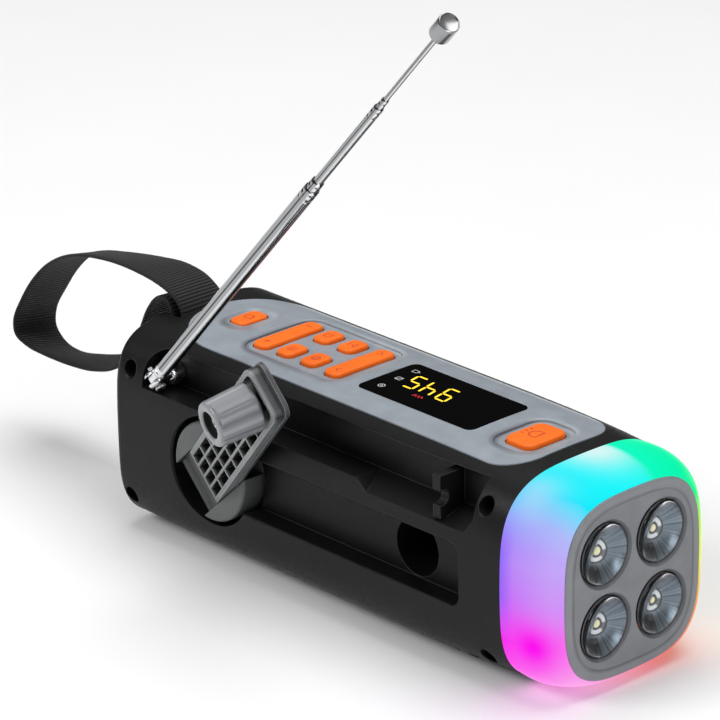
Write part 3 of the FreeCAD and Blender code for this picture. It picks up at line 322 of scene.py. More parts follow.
def reflector_look():
    """A bluish plated dish: radial streaks, dark wedges of painted reflection, painted glints (sparkles), and
    a painted highlight ring round a yellow chip, with a faint painted glow on both.
    """
    look = Look("plated lamp reflector", (0.2, 0.24, 0.28), 0.34, Metallic=0.9)
    turn, reach = lens_polar(look)

    def within(rise, fall):
        """1 between two distances from the lens's middle, rising and falling over those spans."""
        return look.times(look.span(reach, 0.0, 1.0, *rise), look.span(reach, 1.0, 0.0, *fall))

    streak = look.line_noise(turn, 9.0, 4.0)
    look.link(look.ramp(streak, (0.35, (0.085, 0.115, 0.14)), (0.62, (0.22, 0.27, 0.31))), "Base Color")
    fine = look.span(look.line_noise(turn, 26.0, 3.0), 0.0, 1.0, 0.45, 0.6)
    # painted dark reflections in two wedges, with painted glints in their outer parts
    for middle, half in ((1.85, 0.50), (-2.10, 0.52)):
        gap = look.math("ABSOLUTE", look.math("SUBTRACT", turn, middle))
        wedge = look.times(look.span(gap, 0.95, 0.0, half - 0.05, half + 0.05),
                           look.span(reach, 0.0, 1.0, 3.9, 4.6))
        look.over(wedge, (0.010, 0.011, 0.012))
        look.over(look.times(wedge, fine, look.span(reach, 0.0, 0.5, 6.0, 9.5)), (0.45, 0.46, 0.46))
    look.over(look.span(reach, 1.0, 0.0, 3.6, 3.9), (0.05, 0.055, 0.06))
    # a painted highlight ring round the chip, broken into a C, and painted glints further out
    broken = look.span(look.math("ABSOLUTE", look.math("ADD", turn, 0.5)), 0.15, 1.0, 0.3, 0.55)
    chip_ring_highlight = look.times(within((2.0, 2.25), (3.1, 3.35)), broken)
    gap = look.math("ABSOLUTE", look.math("SUBTRACT", look.math("ABSOLUTE", turn), 3.0))
    sparkle = look.times(look.span(gap, 1.0, 0.0, 0.35, 0.6), fine, within((5.6, 6.6), (9.0, 9.9)))
    pale = look.math("MAXIMUM", chip_ring_highlight, sparkle)
    chip = look.span(reach, 1.0, 0.0, 1.4, 1.6)
    look.over(pale, (0.60, 0.61, 0.60))
    look.over(chip, (0.72, 0.66, 0.36))
    paint = look.math("MAXIMUM", pale, chip)
    # the painted highlights and the chip lose their metal and glow faintly: a painted glow, the lamp being
    # off
    look.link(look.span(paint, 0.9, 0.0, 0.0, 1.0), "Metallic")
    look.link(look.mix(chip, (0.55, 0.58, 0.59), (0.80, 0.74, 0.46)), "Emission Color")
    look.link(look.span(paint, 0.0, 0.42, 0.0, 1.0), "Emission Strength")
    return look


def metal(name, base, low, high, streak=(1, 1, 1), **sockets):
    """Bare metal: a slow change of gloss, drawn out by streak, and a faint mottle."""
    look = Look(name, base, (low + high) / 2, Metallic=1.0, **sockets)
    look.link(look.span(look.noise(1.2, 4.0, 0.6, scale=streak), low, high), "Roughness")
    look.mottle(base, 0.05, 0.3)
    return look


SHELL = moulded("shell black plastic", (0.0056, 0.0058, 0.0062), 0.34, 0.48, grain=1.9, depth=0.020, edge=0.6,
                Specular_IOR_Level=0.17)
SHELL.catch_edges((0.075, 0.077, 0.080))
CRANK = moulded("crank grey plastic", (0.082, 0.086, 0.087), 0.30, 0.42, grain=2.0, depth=0.006, edge=0.35)
COVER = moulded("crank cover dark grey plastic", (0.060, 0.064, 0.066), 0.30, 0.42, grain=2.0, depth=0.006,
                edge=0.3)
COVER.catch_edges((0.42, 0.44, 0.45), 0.4)
ORANGE = moulded("orange silicone keys", (0.960, 0.158, 0.009), 0.42, 0.54, grain=3.0, depth=0.004, edge=0.0,
                 Specular_IOR_Level=0.25)
MARK = moulded("darker orange key marks", (0.560, 0.050, 0.004), 0.5, 0.6, edge=0.0)
RUBBER = moulded("black rubber", (0.010, 0.010, 0.011), 0.62, 0.78, grain=2.6, depth=0.02, edge=0.5,
                 Specular_IOR_Level=0.3)
FLAP = moulded("grey rubber flap", (0.060, 0.062, 0.066), 0.58, 0.72, grain=2.6, depth=0.015, edge=0.4)
TRAY = moulded("inner black plastic", (0.02, 0.02, 0.022), 0.45, 0.6)
NYLON = moulded("natural nylon gears", (0.70, 0.68, 0.60), 0.35, 0.5, Subsurface_Weight=0.1)
SPEAKER = moulded("speaker frame and cone", (0.05, 0.05, 0.052), 0.6, 0.8, grain=0.9, depth=0.03)
STEEL = metal("brushed steel", (0.56, 0.56, 0.57), 0.25, 0.42, streak=(1, 6, 1))
BLACK_STEEL = metal("blackened steel", (0.10, 0.10, 0.105), 0.35, 0.5)
CHROME = metal("polished chrome", (0.74, 0.75, 0.77), 0.13, 0.19)
SATIN = metal("turned bright steel", (0.33, 0.335, 0.34), 0.16, 0.26, streak=(4, 4, 4))
COPPER = metal("copper winding", (0.72, 0.33, 0.16), 0.3, 0.45, streak=(1, 8, 1))
SLEEVE = moulded("cell sleeve", (0.03, 0.16, 0.42), 0.25, 0.35, grain=3, depth=0.003, edge=0.2)
CHIP = moulded("white chip package", (0.80, 0.80, 0.76), 0.3, 0.4, edge=0.1)
BOARD = moulded("circuit board", (0.012, 0.105, 0.045), 0.3, 0.4, grain=0.8, depth=0.02, edge=0.1)
GRILLE = moulded("black coated grille", (0.02, 0.02, 0.021), 0.4, 0.55, grain=3.0, depth=0.01, edge=0.25)

WINDOW = Look("black display window", (0.0002, 0.0002, 0.0003), 0.08, Specular_IOR_Level=0.015)
WINDOW.roughen(0.05, 0.11, 0.08)

LENS = Look("clear moulded lens", (0.97, 0.98, 1.0), 0.02, IOR=1.25, Transmission_Weight=1.0,
            Specular_IOR_Level=0.4)
LENS.roughen(0.01, 0.03, 0.2)

# the chip's faint emission is a painted glow; the lamp is off
LED = Look("lamp chip phosphor", (0.80, 0.66, 0.16), 0.35, Emission_Color=(1.0, 0.92, 0.70, 1.0),
           Emission_Strength=0.05)
LED.mottle((0.80, 0.66, 0.16), 0.2, 2.0)


def solar_look():
    """Dark cells under resin, crossed by pale collector lines and finer fingers."""
    cell = (0.004, 0.008, 0.030)
    look = Look("solar cells under resin", cell, 0.22, Specular_IOR_Level=0.25, Coat_Weight=0.3,
                Coat_Roughness=0.08)
    at = look.xyz()
    line = look.math("LESS_THAN", look.math("PINGPONG", at["X"], 5.8), 0.30)
    finger = look.math("LESS_THAN", look.math("PINGPONG", at["Z"], 0.9), 0.06)
    look.link(look.mix(look.math("MAXIMUM", line, finger), cell, (0.13, 0.14, 0.16)), "Base Color")
    return look


RING_COLOURS = (            # share of a turn round the lamp's axis, and the colour there
    (0.00, (205, 136, 250)), (0.03, (222, 124, 248)), (0.065, (250, 104, 242)), (0.10, (252, 116, 238)),
    (0.14, (251, 152, 235)), (0.19, (253, 160, 222)), (0.26, (255, 140, 170)), (0.33, (255, 92, 84)),
    (0.41, (255, 150, 40)), (0.48, (244, 246, 0)), (0.545, (190, 250, 0)), (0.60, (10, 250, 140)),
    (0.645, (0, 250, 176)), (0.69, (0, 254, 190)), (0.703, (0, 252, 200)), (0.713, (70, 252, 236)),
    (0.74, (40, 251, 248)), (0.775, (0, 249, 254)), (0.80, (0, 247, 254)), (0.838, (0, 240, 254)),
    (0.866, (130, 222, 254)), (0.895, (180, 192, 253)), (0.93, (190, 162, 252)), (0.965, (196, 148, 250)),
    (1.00, (205, 136, 250)),
)


def ring_look():
    """A frosted ring lit from inside by coloured lights, its colour going round the lamp's axis, with a
    painted highlight on its near shoulder.
    """
    look = Look("lit frosted ring", (0.0, 0.0, 0.0), 0.34, Specular_IOR_Level=0.05)
    at = look.xyz((0, 0, BODY_Z))
    share = look.math("MULTIPLY_ADD", look.math("ARCTAN2", at["Z"], at["Y"]), 1 / (2 * math.pi), 0.5)
    share = look.math("MULTIPLY_ADD", look.math("SUBTRACT", look.noise(0.05, 2.0), 0.5), 0.015, share)
    around = look.ramp(share, *[(a, linear(*c)) for a, c in RING_COLOURS])
    depth = look.times(look.span(at["X"], 1.15, 0.92, 84.5, 103.0), look.span(at["Z"], 1.0, 1.15, 12.0, 26.0))
    deep = look.node("ShaderNodeHueSaturation", Color=around, Saturation=depth)
    violet = look.times(look.span(at["X"], 0.75, 0.0, 83.5, 89.5), look.span(at["Y"], 1.0, 0.0, -32.0, -22.0),
                        look.span(at["Z"], 0.0, 1.0, -17.0, -2.0), look.span(at["Z"], 1.0, 0.0, 14.0, 25.0))
    glow = look.mix(violet, deep.outputs["Color"], linear(132, 100, 253))
    glow = look.mix(look.near((97.0, -36.5, 22.0), 6.2), glow, linear(254, 0, 241))
    patch = look.times(look.near((85.0, 4.0, 74.0), 7.5), look.span(at["Y"], 1.0, 0.0, 8.5, 11.0), 0.9)
    glow = look.mix(patch, glow, linear(228, 250, 248))
    # painted highlight on the ring's near shoulder
    glow = look.mix(look.times(look.near((89.0, -27.0, 68.5), 5.5), 0.5), glow, linear(205, 228, 254))
    look.link(glow, "Emission Color")
    look.set("Emission Strength", 0.97)
    return look


# ---- the crank arm's own frame, in mm: along the arm, across it and out of its face ----------
ARM_TURN, ARM_LEAN, PIN_OFFSET, KNOB_AT = math.radians(42.9), math.radians(17.0), 12.0, 82.6
FLAT = Vector((math.cos(ARM_TURN), 0, math.sin(ARM_TURN)))
ACROSS = Vector((-math.sin(ARM_TURN), 0, math.cos(ARM_TURN)))
OUT = Vector((0, -1, 0))
ALONG = FLAT * math.cos(ARM_LEAN) + OUT * math.sin(ARM_LEAN)
FACE = OUT * math.cos(ARM_LEAN) - FLAT * math.sin(ARM_LEAN)
ARM_ORIGIN = Vector((-57.5, -33.0, 35.3)) - FLAT * PIN_OFFSET
ARM_FRAME = Matrix((ALONG, ACROSS, FACE)).transposed().to_4x4()
ARM_FRAME.translation = ARM_ORIGIN

ANTENNA_TURN, ANTENNA_LEAN = math.radians(44.2), math.radians(7.2)
REACH = Vector((math.cos(ANTENNA_TURN) * math.cos(ANTENNA_LEAN), -math.sin(ANTENNA_LEAN),
                math.sin(ANTENNA_TURN) * math.cos(ANTENNA_LEAN)))
TILT_PIN = Vector((-math.sin(ANTENNA_TURN), 0, math.cos(ANTENNA_TURN)))
ANTENNA_FRAME = Matrix((REACH, TILT_PIN, REACH.cross(TILT_PIN))).transposed().to_4x4()
ANTENNA_FRAME.translation = HINGE


def lattice_look():
    """The arm's grey, with painted shade down in the cells between its ribs, in the pan under the knob, on
    its lower side walls and far end, and at its root.
    """
    look = moulded("crank arm grey plastic", (0.185, 0.198, 0.202), 0.26, 0.38, grain=2.0, depth=0.006,
                   edge=0.3)
    at = look.offset(ARM_ORIGIN)
    along, across, out = (look.dot(at, axis) for axis in (ALONG, ACROSS, FACE))
    inside = look.times(look.span(look.math("ABSOLUTE", across), 1.0, 0.0, 9.2, 9.8),
                        look.span(along, 0.0, 1.0, 8.9, 9.6), look.span(along, 1.0, 0.0, 93.0, 93.8))
    # painted shade down in the cells and the pan: a dark, faintly warm, mottled tone
    cell_shade = look.ramp(look.noise(0.9), (0.4, (0.009, 0.008, 0.007)), (0.65, (0.034, 0.027, 0.018)))
    look.over(look.times(inside, look.span(out, 1.0, 0.0, 1.2, 2.25), 0.97), cell_shade)
    # painted shade on the arm's lower side walls, towards the cover
    look.over(look.span(out, 0.75, 0.0, -1.3, -0.4), (0.03, 0.032, 0.033))
    # painted shade on the walls at the arm's far end
    end_wall_shade = look.times(look.span(out, 0.8, 0.0, 0.9, 1.7), look.span(along, 0.0, 1.0, 84.0, 91.0))
    look.over(end_wall_shade, (0.030, 0.032, 0.033))
    # painted shade at the arm's root
    look.over(look.span(along, 0.95, 0.0, 8.4, 9.0), (0.016, 0.017, 0.018))
    look.catch_edges((0.52, 0.54, 0.55), 0.4)
    return look


def knob_look():
    """Satin grey with long soft bands of painted reflection round the knob, and an even front edge."""
    look = moulded("knob satin grey plastic", (0.26, 0.27, 0.28), 0.16, 0.24, grain=2.0, depth=0.003,
                   edge=0.0)
    # painted reflection bands round the knob
    look.bands(ARM_ORIGIN + ALONG * KNOB_AT, ACROSS, ALONG, 3.6, (0.13, 0.14, 0.155), (0.35, 0.36, 0.375),
               seed=3.1, sharp=1.1)
    front = look.span(look.dot(look.offset(ARM_ORIGIN), FACE), 0.0, 0.9, 18.0, 18.5)
    look.over(front, (0.24, 0.25, 0.26))
    return look


def tube_look():
    """Drawn chrome with the long dark, grey and bright bands of a polished bar, painted on as reflections."""
    look = metal("drawn chrome tube", (0.8, 0.81, 0.83), 0.06, 0.12)
    at = look.offset(HINGE)
    turn = look.math("ARCTAN2", look.dot(at, TILT_PIN), look.dot(at, REACH.cross(TILT_PIN)))
    # colours of the painted reflection bands round the tube
    dark, grey, bright = (0.03, 0.031, 0.033), (0.36, 0.365, 0.375), (0.80, 0.81, 0.82)
    stops = (
        (0.0, grey), (0.06, bright), (0.14, bright), (0.165, dark), (0.19, grey), (0.235, grey),
        (0.25, dark), (0.285, dark), (0.31, bright), (0.395, bright), (0.425, grey), (0.475, grey),
        (0.487, dark), (0.505, dark), (0.52, grey), (0.66, grey), (0.69, dark), (0.72, grey),
        (0.76, bright), (0.86, bright), (0.885, dark), (0.91, grey), (1.0, grey))
    look.link(look.ramp(look.math("MULTIPLY_ADD", turn, 1 / (2 * math.pi), 0.5), *stops), "Base Color")
    return look


TUBE, KNOB, REFLECTOR = tube_look(), knob_look(), reflector_look()

PAINT = {
    SHELL: "left_shell right_shell",
    panel_look(): "top_panel",
    lamp_look(): "lamp_bezel",
    CRANK: "crank_hub",
    COVER: "crank_arm_cover",
    lattice_look(): "crank_arm",
    KNOB: "crank_knob",
    ORANGE: "power_button volume_rocker mode_button memory_button alarm_button play_button tuning_rocker"
            " lamp_button",
    RUBBER: "base_cover wrist_strap",
    FLAP: "port_cover",
    TRAY: "battery_tray gear_plate display_module",
    NYLON: "crank_gear idler_gear",
    SPEAKER: "speaker",
    STEEL: "charging_sockets crank_hinge_pin crank_shaft knob_screw generator_rotor antenna_nut"
           " antenna_screw strap_bar",
    BLACK_STEEL: "housing_screws",
    CHROME: "antenna_stud antenna_tube_1 antenna_tube_2 antenna_tube_3 antenna_tube_4 antenna_rod"
            " antenna_tip",
    REFLECTOR: "lamp_reflectors",
    COPPER: "generator_stator",
    SLEEVE: "battery_cells",
    CHIP: "ring_lights",
    BOARD: "button_board lamp_board ring_board main_board",
    GRILLE: "speaker_grille",
    WINDOW: "display_window",
    solar_look(): "solar_panel",
    LENS: "lamp_lenses",
    LED: "lamp_leds",
    ring_look(): "light_ring",
}
for look, names in PAINT.items():
    for name in names.split():
        mesh = NODES[name].data
        mesh.materials.clear()
        mesh.materials.append(look.mat)


# ---- mesh helpers ----------------------------------------------------------------------
def piece(name, mesh, look, body, smooth=30.0):
    """Links a mesh as a piece that rides on body."""
    made = bpy.data.objects.new(name, mesh)
    bpy.context.scene.collection.objects.link(made)
    mesh.materials.append(look.mat)
    if smooth:
        bpy.context.view_layer.objects.active = made
        for other in bpy.context.selected_objects:
            other.select_set(False)
        made.select_set(True)
        bpy.ops.object.shade_smooth_by_angle(angle=math.radians(smooth))
    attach(made, body)
    return made


def grid_mesh(name, rows, closed_cols=False, caps=False):
    """A mesh through rows of points in mm, each row the same length."""
    count, width = len(rows), len(rows[0])
    verts = [Vector(p) * MM for row in rows for p in row]
    faces = []
    for i in range(count - 1):
        for j in range(width if closed_cols else width - 1):
            a, b = i * width, (i + 1) * width
            k = (j + 1) % width
            faces.append((a + j, a + k, b + k, b + j))
    if caps:
        faces.append(tuple(range(width))[::-1])
        faces.append(tuple((count - 1) * width + j for j in range(width)))
    mesh = bpy.data.meshes.new(name)
    mesh.from_pydata(verts, [], faces)
    bm = bmesh.new()
    bm.from_mesh(mesh)
    bmesh.ops.recalc_face_normals(bm, faces=bm.faces)
    bm.to_mesh(mesh)
    bm.free()
    return mesh


def spline(points, count):
    """count points evenly spaced on a smooth curve through points."""
    pts = np.array(points, float)
    gaps = np.linalg.norm(np.diff(pts, axis=0), axis=1) ** 0.5
    knots = np.concatenate(([0], np.cumsum(gaps)))
    slopes = np.gradient(pts, knots, axis=0)
    out = []
    for i in range(len(pts) - 1):
        h = knots[i + 1] - knots[i]
        for t in np.linspace(0, 1, 60, endpoint=False):
            a, b = 2 * t**3 - 3 * t**2 + 1, t**3 - 2 * t**2 + t
            out.append(a * pts[i] + b * h * slopes[i] + (1 - a) * pts[i + 1]
                       + (t**3 - t**2) * h * slopes[i + 1])
    out = np.array(out + [pts[-1]])
    along = np.concatenate(([0], np.cumsum(np.linalg.norm(np.diff(out, axis=0), axis=1))))
    at = np.linspace(0, along[-1], count)
    return np.stack([np.interp(at, along, out[:, k]) for k in range(out.shape[1])], axis=1)


# ---- wrist strap -----------------------------------------------------------------------
# The strap's two edges, in the planes y = -13 and y = 8: it turns a little on itself as it loops.
NEAR_EDGE = (
    (-99.4, 70.6), (-99.3, 74.6), (-102.2, 78.6), (-107.0, 80.9), (-114.5, 82.7), (-123.0, 83.6),
    (-132.0, 83.9), (-141.0, 83.4), (-152.0, 81.8), (-163.0, 78.4), (-173.0, 72.8), (-182.0, 64.4),
    (-189.0, 55.0), (-194.0, 45.6), (-193.4, 40.4), (-187.0, 37.7), (-176.0, 36.9), (-163.0, 37.1),
    (-150.0, 38.6), (-138.5, 42.6), (-129.5, 50.4), (-122.6, 61.6), (-117.6, 71.2), (-112.6, 76.6),
    (-107.4, 77.4), (-104.9, 73.4), (-104.9, 70.2))
FAR_EDGE = (
    (-99.4, 70.6), (-99.6, 74.0), (-104.4, 77.6), (-109.6, 80.2), (-116.0, 81.4), (-123.0, 81.6),
    (-131.0, 80.6), (-140.0, 79.2), (-152.0, 77.0), (-164.0, 74.4), (-173.0, 71.0), (-181.0, 64.2),
    (-188.6, 54.6), (-195.2, 44.4), (-195.8, 37.0), (-190.4, 32.0), (-181.0, 30.6), (-168.0, 33.2),
    (-154.0, 37.6), (-141.0, 43.0), (-131.0, 50.8), (-124.0, 61.4), (-118.6, 70.6), (-112.8, 75.4),
    (-107.6, 76.0), (-104.9, 72.6), (-104.9, 70.2))
STRAP_Y = (-13.0, 8.0)
STRAP_SECTION = (           # share of the width, and how far out of the half thickness
    (0, 0), (0.008, -0.62), (0.05, -1), (0.2, -0.93), (0.5, -0.9), (0.8, -0.93), (0.95, -1), (0.992, -0.62),
    (1, 0), (0.992, 0.62), (0.95, 1), (0.8, 0.93), (0.5, 0.9), (0.2, 0.93), (0.05, 1), (0.008, 0.62))


def webbing():
    """Woven webbing: cross ribs all along, fine yarns over them and a plain selvedge at each edge."""
    look = Look("black ribbed webbing", (0.012, 0.012, 0.013), 0.80, Specular_IOR_Level=0.25,
                Sheen_Weight=0.12, Sheen_Roughness=0.4)
    rib_pitch, yarn_pitch, selvedge = 1.3, 0.9, 9.4
    uv = look.node("ShaderNodeSeparateXYZ", Vector=look.place(uv=True)).outputs
    rib = look.math("SINE", look.times(uv["Y"], 2 * math.pi / rib_pitch))
    slant = look.times(uv["Y"], 2.4)
    yarn = look.math("SINE", look.math("MULTIPLY_ADD", uv["X"], 2 * math.pi / yarn_pitch, slant))
    edge = look.math("GREATER_THAN", look.math("ABSOLUTE", uv["X"]), selvedge)
    weave = look.math("MULTIPLY_ADD", yarn, 0.30, rib)
    weave = look.times(weave, look.math("MULTIPLY_ADD", edge, -0.55, 1.0))
    look.link(look.ramp(look.math("MULTIPLY_ADD", weave, 0.3, 0.5), (0.1, (0.0040, 0.0040, 0.0043)),
                        (0.9, (0.0200, 0.0200, 0.0205))), "Base Color")
    look.bump(weave, 0.22, 0.9)
    look.bump(look.noise(3.0, 2.0), 0.04, 0.5)
    return look


def strap_piece():
    """The strap's loop, lofted between its two edges and faintly cupped."""
    near, far = (spline([(x, y, z) for x, z in edge], 560) for y, edge in zip(STRAP_Y, (NEAR_EDGE, FAR_EDGE)))
    middle = (near + far) / 2
    along = np.concatenate(([0], np.cumsum(np.linalg.norm(np.diff(middle, axis=0), axis=1))))
    half_thick = 0.66
    slope = np.gradient(middle, along, axis=0)
    rows = []
    for a, b, t, s in zip(near, far, slope, along):
        normal = Vector(np.cross(b - a, t)).normalized()
        cup = 0.35 * math.sin(s / 23.0)
        rows.append([Vector(a + (b - a) * u) + normal * (half_thick * lift + cup * (4 * u * (1 - u)))
                     for u, lift in STRAP_SECTION])
    mesh = grid_mesh("wrist_strap_webbing", rows, closed_cols=True, caps=True)
    layer = mesh.uv_layers.new(name="UVMap")
    count = len(STRAP_SECTION)
    for poly in mesh.polygons:
        for loop in poly.loop_indices:
            v = mesh.loops[loop].vertex_index
            layer.data[loop].uv = ((STRAP_SECTION[v % count][0] - 0.5) * 21, along[v // count])
    made = piece("wrist_strap_webbing", mesh, webbing(), "radio", smooth=50)
    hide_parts("wrist_strap")


strap_piece()


# ---- keys --------------------------------------------------------------------------------
def rounded_outline(half_x, half_y, corner, steps=9):
    """Points round a rectangle with round corners, the same number whatever its size."""
    points = []
    for sx, sy, start in ((1, 1, 0), (-1, 1, 90), (-1, -1, 180), (1, -1, 270)):
        for i in range(steps):
            a = math.radians(start + 90 * i / (steps - 1))
            points.append((sx * (half_x - corner) + corner * math.cos(a),
                           sy * (half_y - corner) + corner * math.sin(a)))
    return points


def strokes(bm, lines, half, height):
    """Flat strokes along lines of (x, y) points, at height(x, y)."""
    for line in lines:
        left, right = [], []
        pts = [Vector(p) for p in line]
        for i, p in enumerate(pts):
            run = (pts[min(i + 1, len(pts) - 1)] - pts[max(i - 1, 0)]).normalized()
            side = Vector((-run.y, run.x)) * half
            for group, q in ((left, p + side), (right, p - side)):
                group.append(bm.verts.new(Vector((q.x, q.y, height(q.x, q.y))) * MM))
        for i in range(len(pts) - 1):
            bm.faces.new((left[i], right[i], right[i + 1], left[i + 1]))


def arc(x, y, r, a0, a1, steps=14):
    return [(x + r * math.cos(math.radians(a0 + (a1 - a0) * i / steps)),
             y + r * math.sin(math.radians(a0 + (a1 - a0) * i / steps))) for i in range(steps + 1)]


WAIST = [(-3.2, 0), (3.2, 0)]       # the line across the middle of a rocker
GLYPHS = {                  # generic signs, drawn for a reader on the far side: mm from the key's middle
    "power_button": [arc(0, 0, 1.7, -55, 235), [(0, -2.3), (0, -0.6)]],
    "volume_rocker": [[(-1.2, 9.6), (1.2, 9.6)], [(-1.2, -9.6), (1.2, -9.6)], [(0, -10.8), (0, -8.4)], WAIST],
    "tuning_rocker": [[(-1.0, 8.6), (1.0, 9.8), (-1.0, 11.0)], [(1.0, -8.6), (-1.0, -9.8), (1.0, -11.0)],
                      WAIST],
    "mode_button": [[(-1.6, y), (1.6, y)] for y in (-1.2, 0, 1.2)],
    "memory_button": [[(-1.2, -1.6), (-1.2, 1.6), (0, 0.6), (1.2, 1.6), (1.2, -1.6), (-1.2, -1.6)]],
    "alarm_button": [arc(0, 0, 1.5, 0, 360), [(0, -1.0), (0, 0), (0.8, 0.5)]],
    "play_button": [[(1.6, -1.4), (-0.4, 0), (1.6, 1.4), (1.6, -1.4)], [(-1.4, -1.4), (-1.4, 1.4)]],
    "lamp_button": [[(1.8, -2.4), (1.8, 2.4)] + arc(0.2, 0, 2.4, 90, 270) + [(1.8, -2.4)],
                    [(-3.4, -1.8), (-4.6, -2.4)], [(-3.6, 0), (-4.9, 0)], [(-3.4, 1.8), (-4.6, 2.4)]],
}
ROCKER_SIZE = (7.6, 28.0, 2.8)      # along x, along y, corner
SMALL_SIZE = (7.6, 10.0, 2.6)
KEYS = (                    # node, body, x, y, size along x and y, corner
    ("power_button", "power_key", -79.2, 0.6, 8.0, 12.6, 2.6),
    ("volume_rocker", "volume_key", -58.2, 0.0, *ROCKER_SIZE),
    ("mode_button", "mode_key", -46.9, -8.4, *SMALL_SIZE),
    ("memory_button", "memory_key", -46.9, 8.4, *SMALL_SIZE),
    ("alarm_button", "alarm_key", -34.9, -8.4, *SMALL_SIZE),
    ("play_button", "play_key", -34.9, 8.4, *SMALL_SIZE),
    ("tuning_rocker", "tuning_key", -22.4, 0.0, *ROCKER_SIZE),
    ("lamp_button", "lamp_key", 63.6, -2.0, 12.8, 18.2, 3.4),
)
KEY_PROUD = 1.2
KEY_FOOT_Z = 68.8
KEY_EDGE = (                # the rolled edge: how far in from the side, and how far below the top
    (0.0, 1.10), (0.03, 0.72), (0.14, 0.42), (0.32, 0.20), (0.58, 0.07), (0.95, 0.01), (1.5, 0.0), (2.3, 0.0))


def key_cap(node, body, x, y, long, wide, corner):
    """A soft key with rolled edges and a faintly crowned or waisted top, and its sign."""
    rocker = wide > 25

    def top(px, py):
        across = (py - y) / (wide / 2)
        crown = 0.10 * (1 - across * across) if not rocker else -0.16 * math.exp(-(py / 3.2) ** 2)
        return top_z(py, KEY_PROUD) + crown - 0.05

    rows = [[(x + px, y + py, KEY_FOOT_Z) for px, py in rounded_outline(long / 2, wide / 2, corner)]]
    for inset, drop in KEY_EDGE:
        ring = rounded_outline(long / 2 - inset, wide / 2 - inset, max(corner - inset * 0.8, 0.3))
        rows.append([(x + px, y + py, top(x + px, y + py) - drop) for px, py in ring])
    inner = rows[-1]
    for share in (0.66, 0.33, 0.02):
        rows.append([(x + (px - x) * share, y + (py - y) * share, top(x, y + (py - y) * share))
                     for px, py, _ in inner])
    mesh = grid_mesh(node + "_cap", rows, closed_cols=True)
    made = piece(node + "_cap", mesh, ORANGE, body, smooth=60)
    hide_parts(node)
    bm = bmesh.new()
    lines = [[(x + px, y + py) for px, py in line] for line in GLYPHS[node]]
    strokes(bm, lines, 0.34 if long > 10 else 0.27, lambda px, py: top(px, py) + 0.02)
    sign = bpy.data.meshes.new(node + "_sign")
    bm.to_mesh(sign)
    bm.free()
    piece(node + "_sign", sign, MARK, body, smooth=0)


for key in KEYS:
    key_cap(*key)


# ---- display -----------------------------------------------------------------------------
SEGMENTS = {"9": "abcdfg", "4": "bcfg", "5": "acdfg"}
SEGMENT_ENDS = {          # across and up, in shares of the digit's box
    "a": ((0, 1), (1, 1)), "b": ((1, 1), (1, 0.5)), "c": ((1, 0.5), (1, 0)), "d": ((1, 0), (0, 0)),
    "e": ((0, 0), (0, 0.5)), "f": ((0, 0.5), (0, 1)), "g": ((0, 0.5), (1, 0.5)),
}


def bar(bm, a, b, half, z):
    """A flat pointed bar from a to b."""
    a, b = Vector(a), Vector(b)
    run = (b - a).normalized()
    side = Vector((-run.y, run.x)) * half
    a, b = a + run * half * 0.5, b - run * half * 0.5
    corners = [a, a + run * half + side, b - run * half + side,
               b, b - run * half - side, a + run * half - side]
    bm.faces.new([bm.verts.new(Vector((p.x, p.y, z)) * MM) for p in corners])


def display_digits():
    """Three seven-segment digits, for a reader on the far side."""
    look = Look("lit yellow segments", (0.05, 0.04, 0.0), 0.4, Emission_Color=(1.0, 0.62, 0.02, 1.0),
                Emission_Strength=1.6)
    yellow = look.ramp(look.noise(0.8), (0.3, (1.0, 0.56, 0.01)), (0.7, (1.0, 0.74, 0.05)))
    look.link(yellow, "Emission Color")
    width, height, foot_y, slant = 4.6, 9.4, 6.4, 0.2
    bm = bmesh.new()
    for digit, x in (("9", 18.4), ("4", 10.6), ("5", 3.0)):
        for segment in SEGMENTS[digit]:
            ends = []
            for across, up in SEGMENT_ENDS[segment]:
                y = foot_y - height * up
                ends.append((x + width * (0.5 - across) - slant * (y - 2), y))
            bar(bm, *ends, 0.42, WINDOW_TOP)
    mesh = bpy.data.meshes.new("display_digits")
    bm.to_mesh(mesh)
    bm.free()
    piece("display_digits", mesh, look, "radio", smooth=0)


display_digits()


def display_signs():
    """Three small white signs and a red wave beside the digits."""
    white = Look("lit white signs", (0.2, 0.2, 0.2), 0.4, Emission_Color=(0.75, 0.78, 0.82, 1.0),
                 Emission_Strength=0.55)
    white_mottle = white.ramp(white.noise(0.8), (0.3, (0.62, 0.66, 0.70)), (0.7, (0.80, 0.82, 0.86)))
    white.link(white_mottle, "Emission Color")
    red = Look("lit red signs", (0.1, 0.0, 0.0), 0.4, Emission_Color=(0.9, 0.01, 0.03, 1.0),
               Emission_Strength=0.9)
    red.link(red.ramp(red.noise(0.8), (0.3, (0.80, 0.01, 0.03)), (0.7, (1.0, 0.02, 0.05))), "Emission Color")
    white_lines = [
        arc(-3.2, -7.8, 1.2, 0, 360), arc(-3.2, -7.8, 0.35, 0, 360),
        [(-4.6, -0.6), (-2.2, -0.6), (-2.2, 1.4), (-4.6, 1.4), (-4.6, -0.6)], [(-4.6, -0.6), (-2.2, 1.4)],
        [(-5.0, 7.6), (-2.9, 7.6), (-2.9, 9.4), (-5.0, 9.4), (-5.0, 7.6)],
        [(-2.9, 8.1), (-1.9, 8.6), (-2.9, 9.0)]]
    red_lines = [[(10.2, -6.6), (10.9, -5.2), (11.6, -6.6), (12.3, -5.2), (13.0, -6.6), (13.7, -5.2),
                  (14.6, -6.4)]]
    for name, look, lines, half in (("display_signs_white", white, white_lines, 0.16),
                                    ("display_signs_red", red, red_lines, 0.26)):
        bm = bmesh.new()
        strokes(bm, lines, half, lambda px, py: WINDOW_TOP)
        mesh = bpy.data.meshes.new(name)
        bm.to_mesh(mesh)
        bm.free()
        piece(name, mesh, look, "radio", smooth=0)


display_signs()


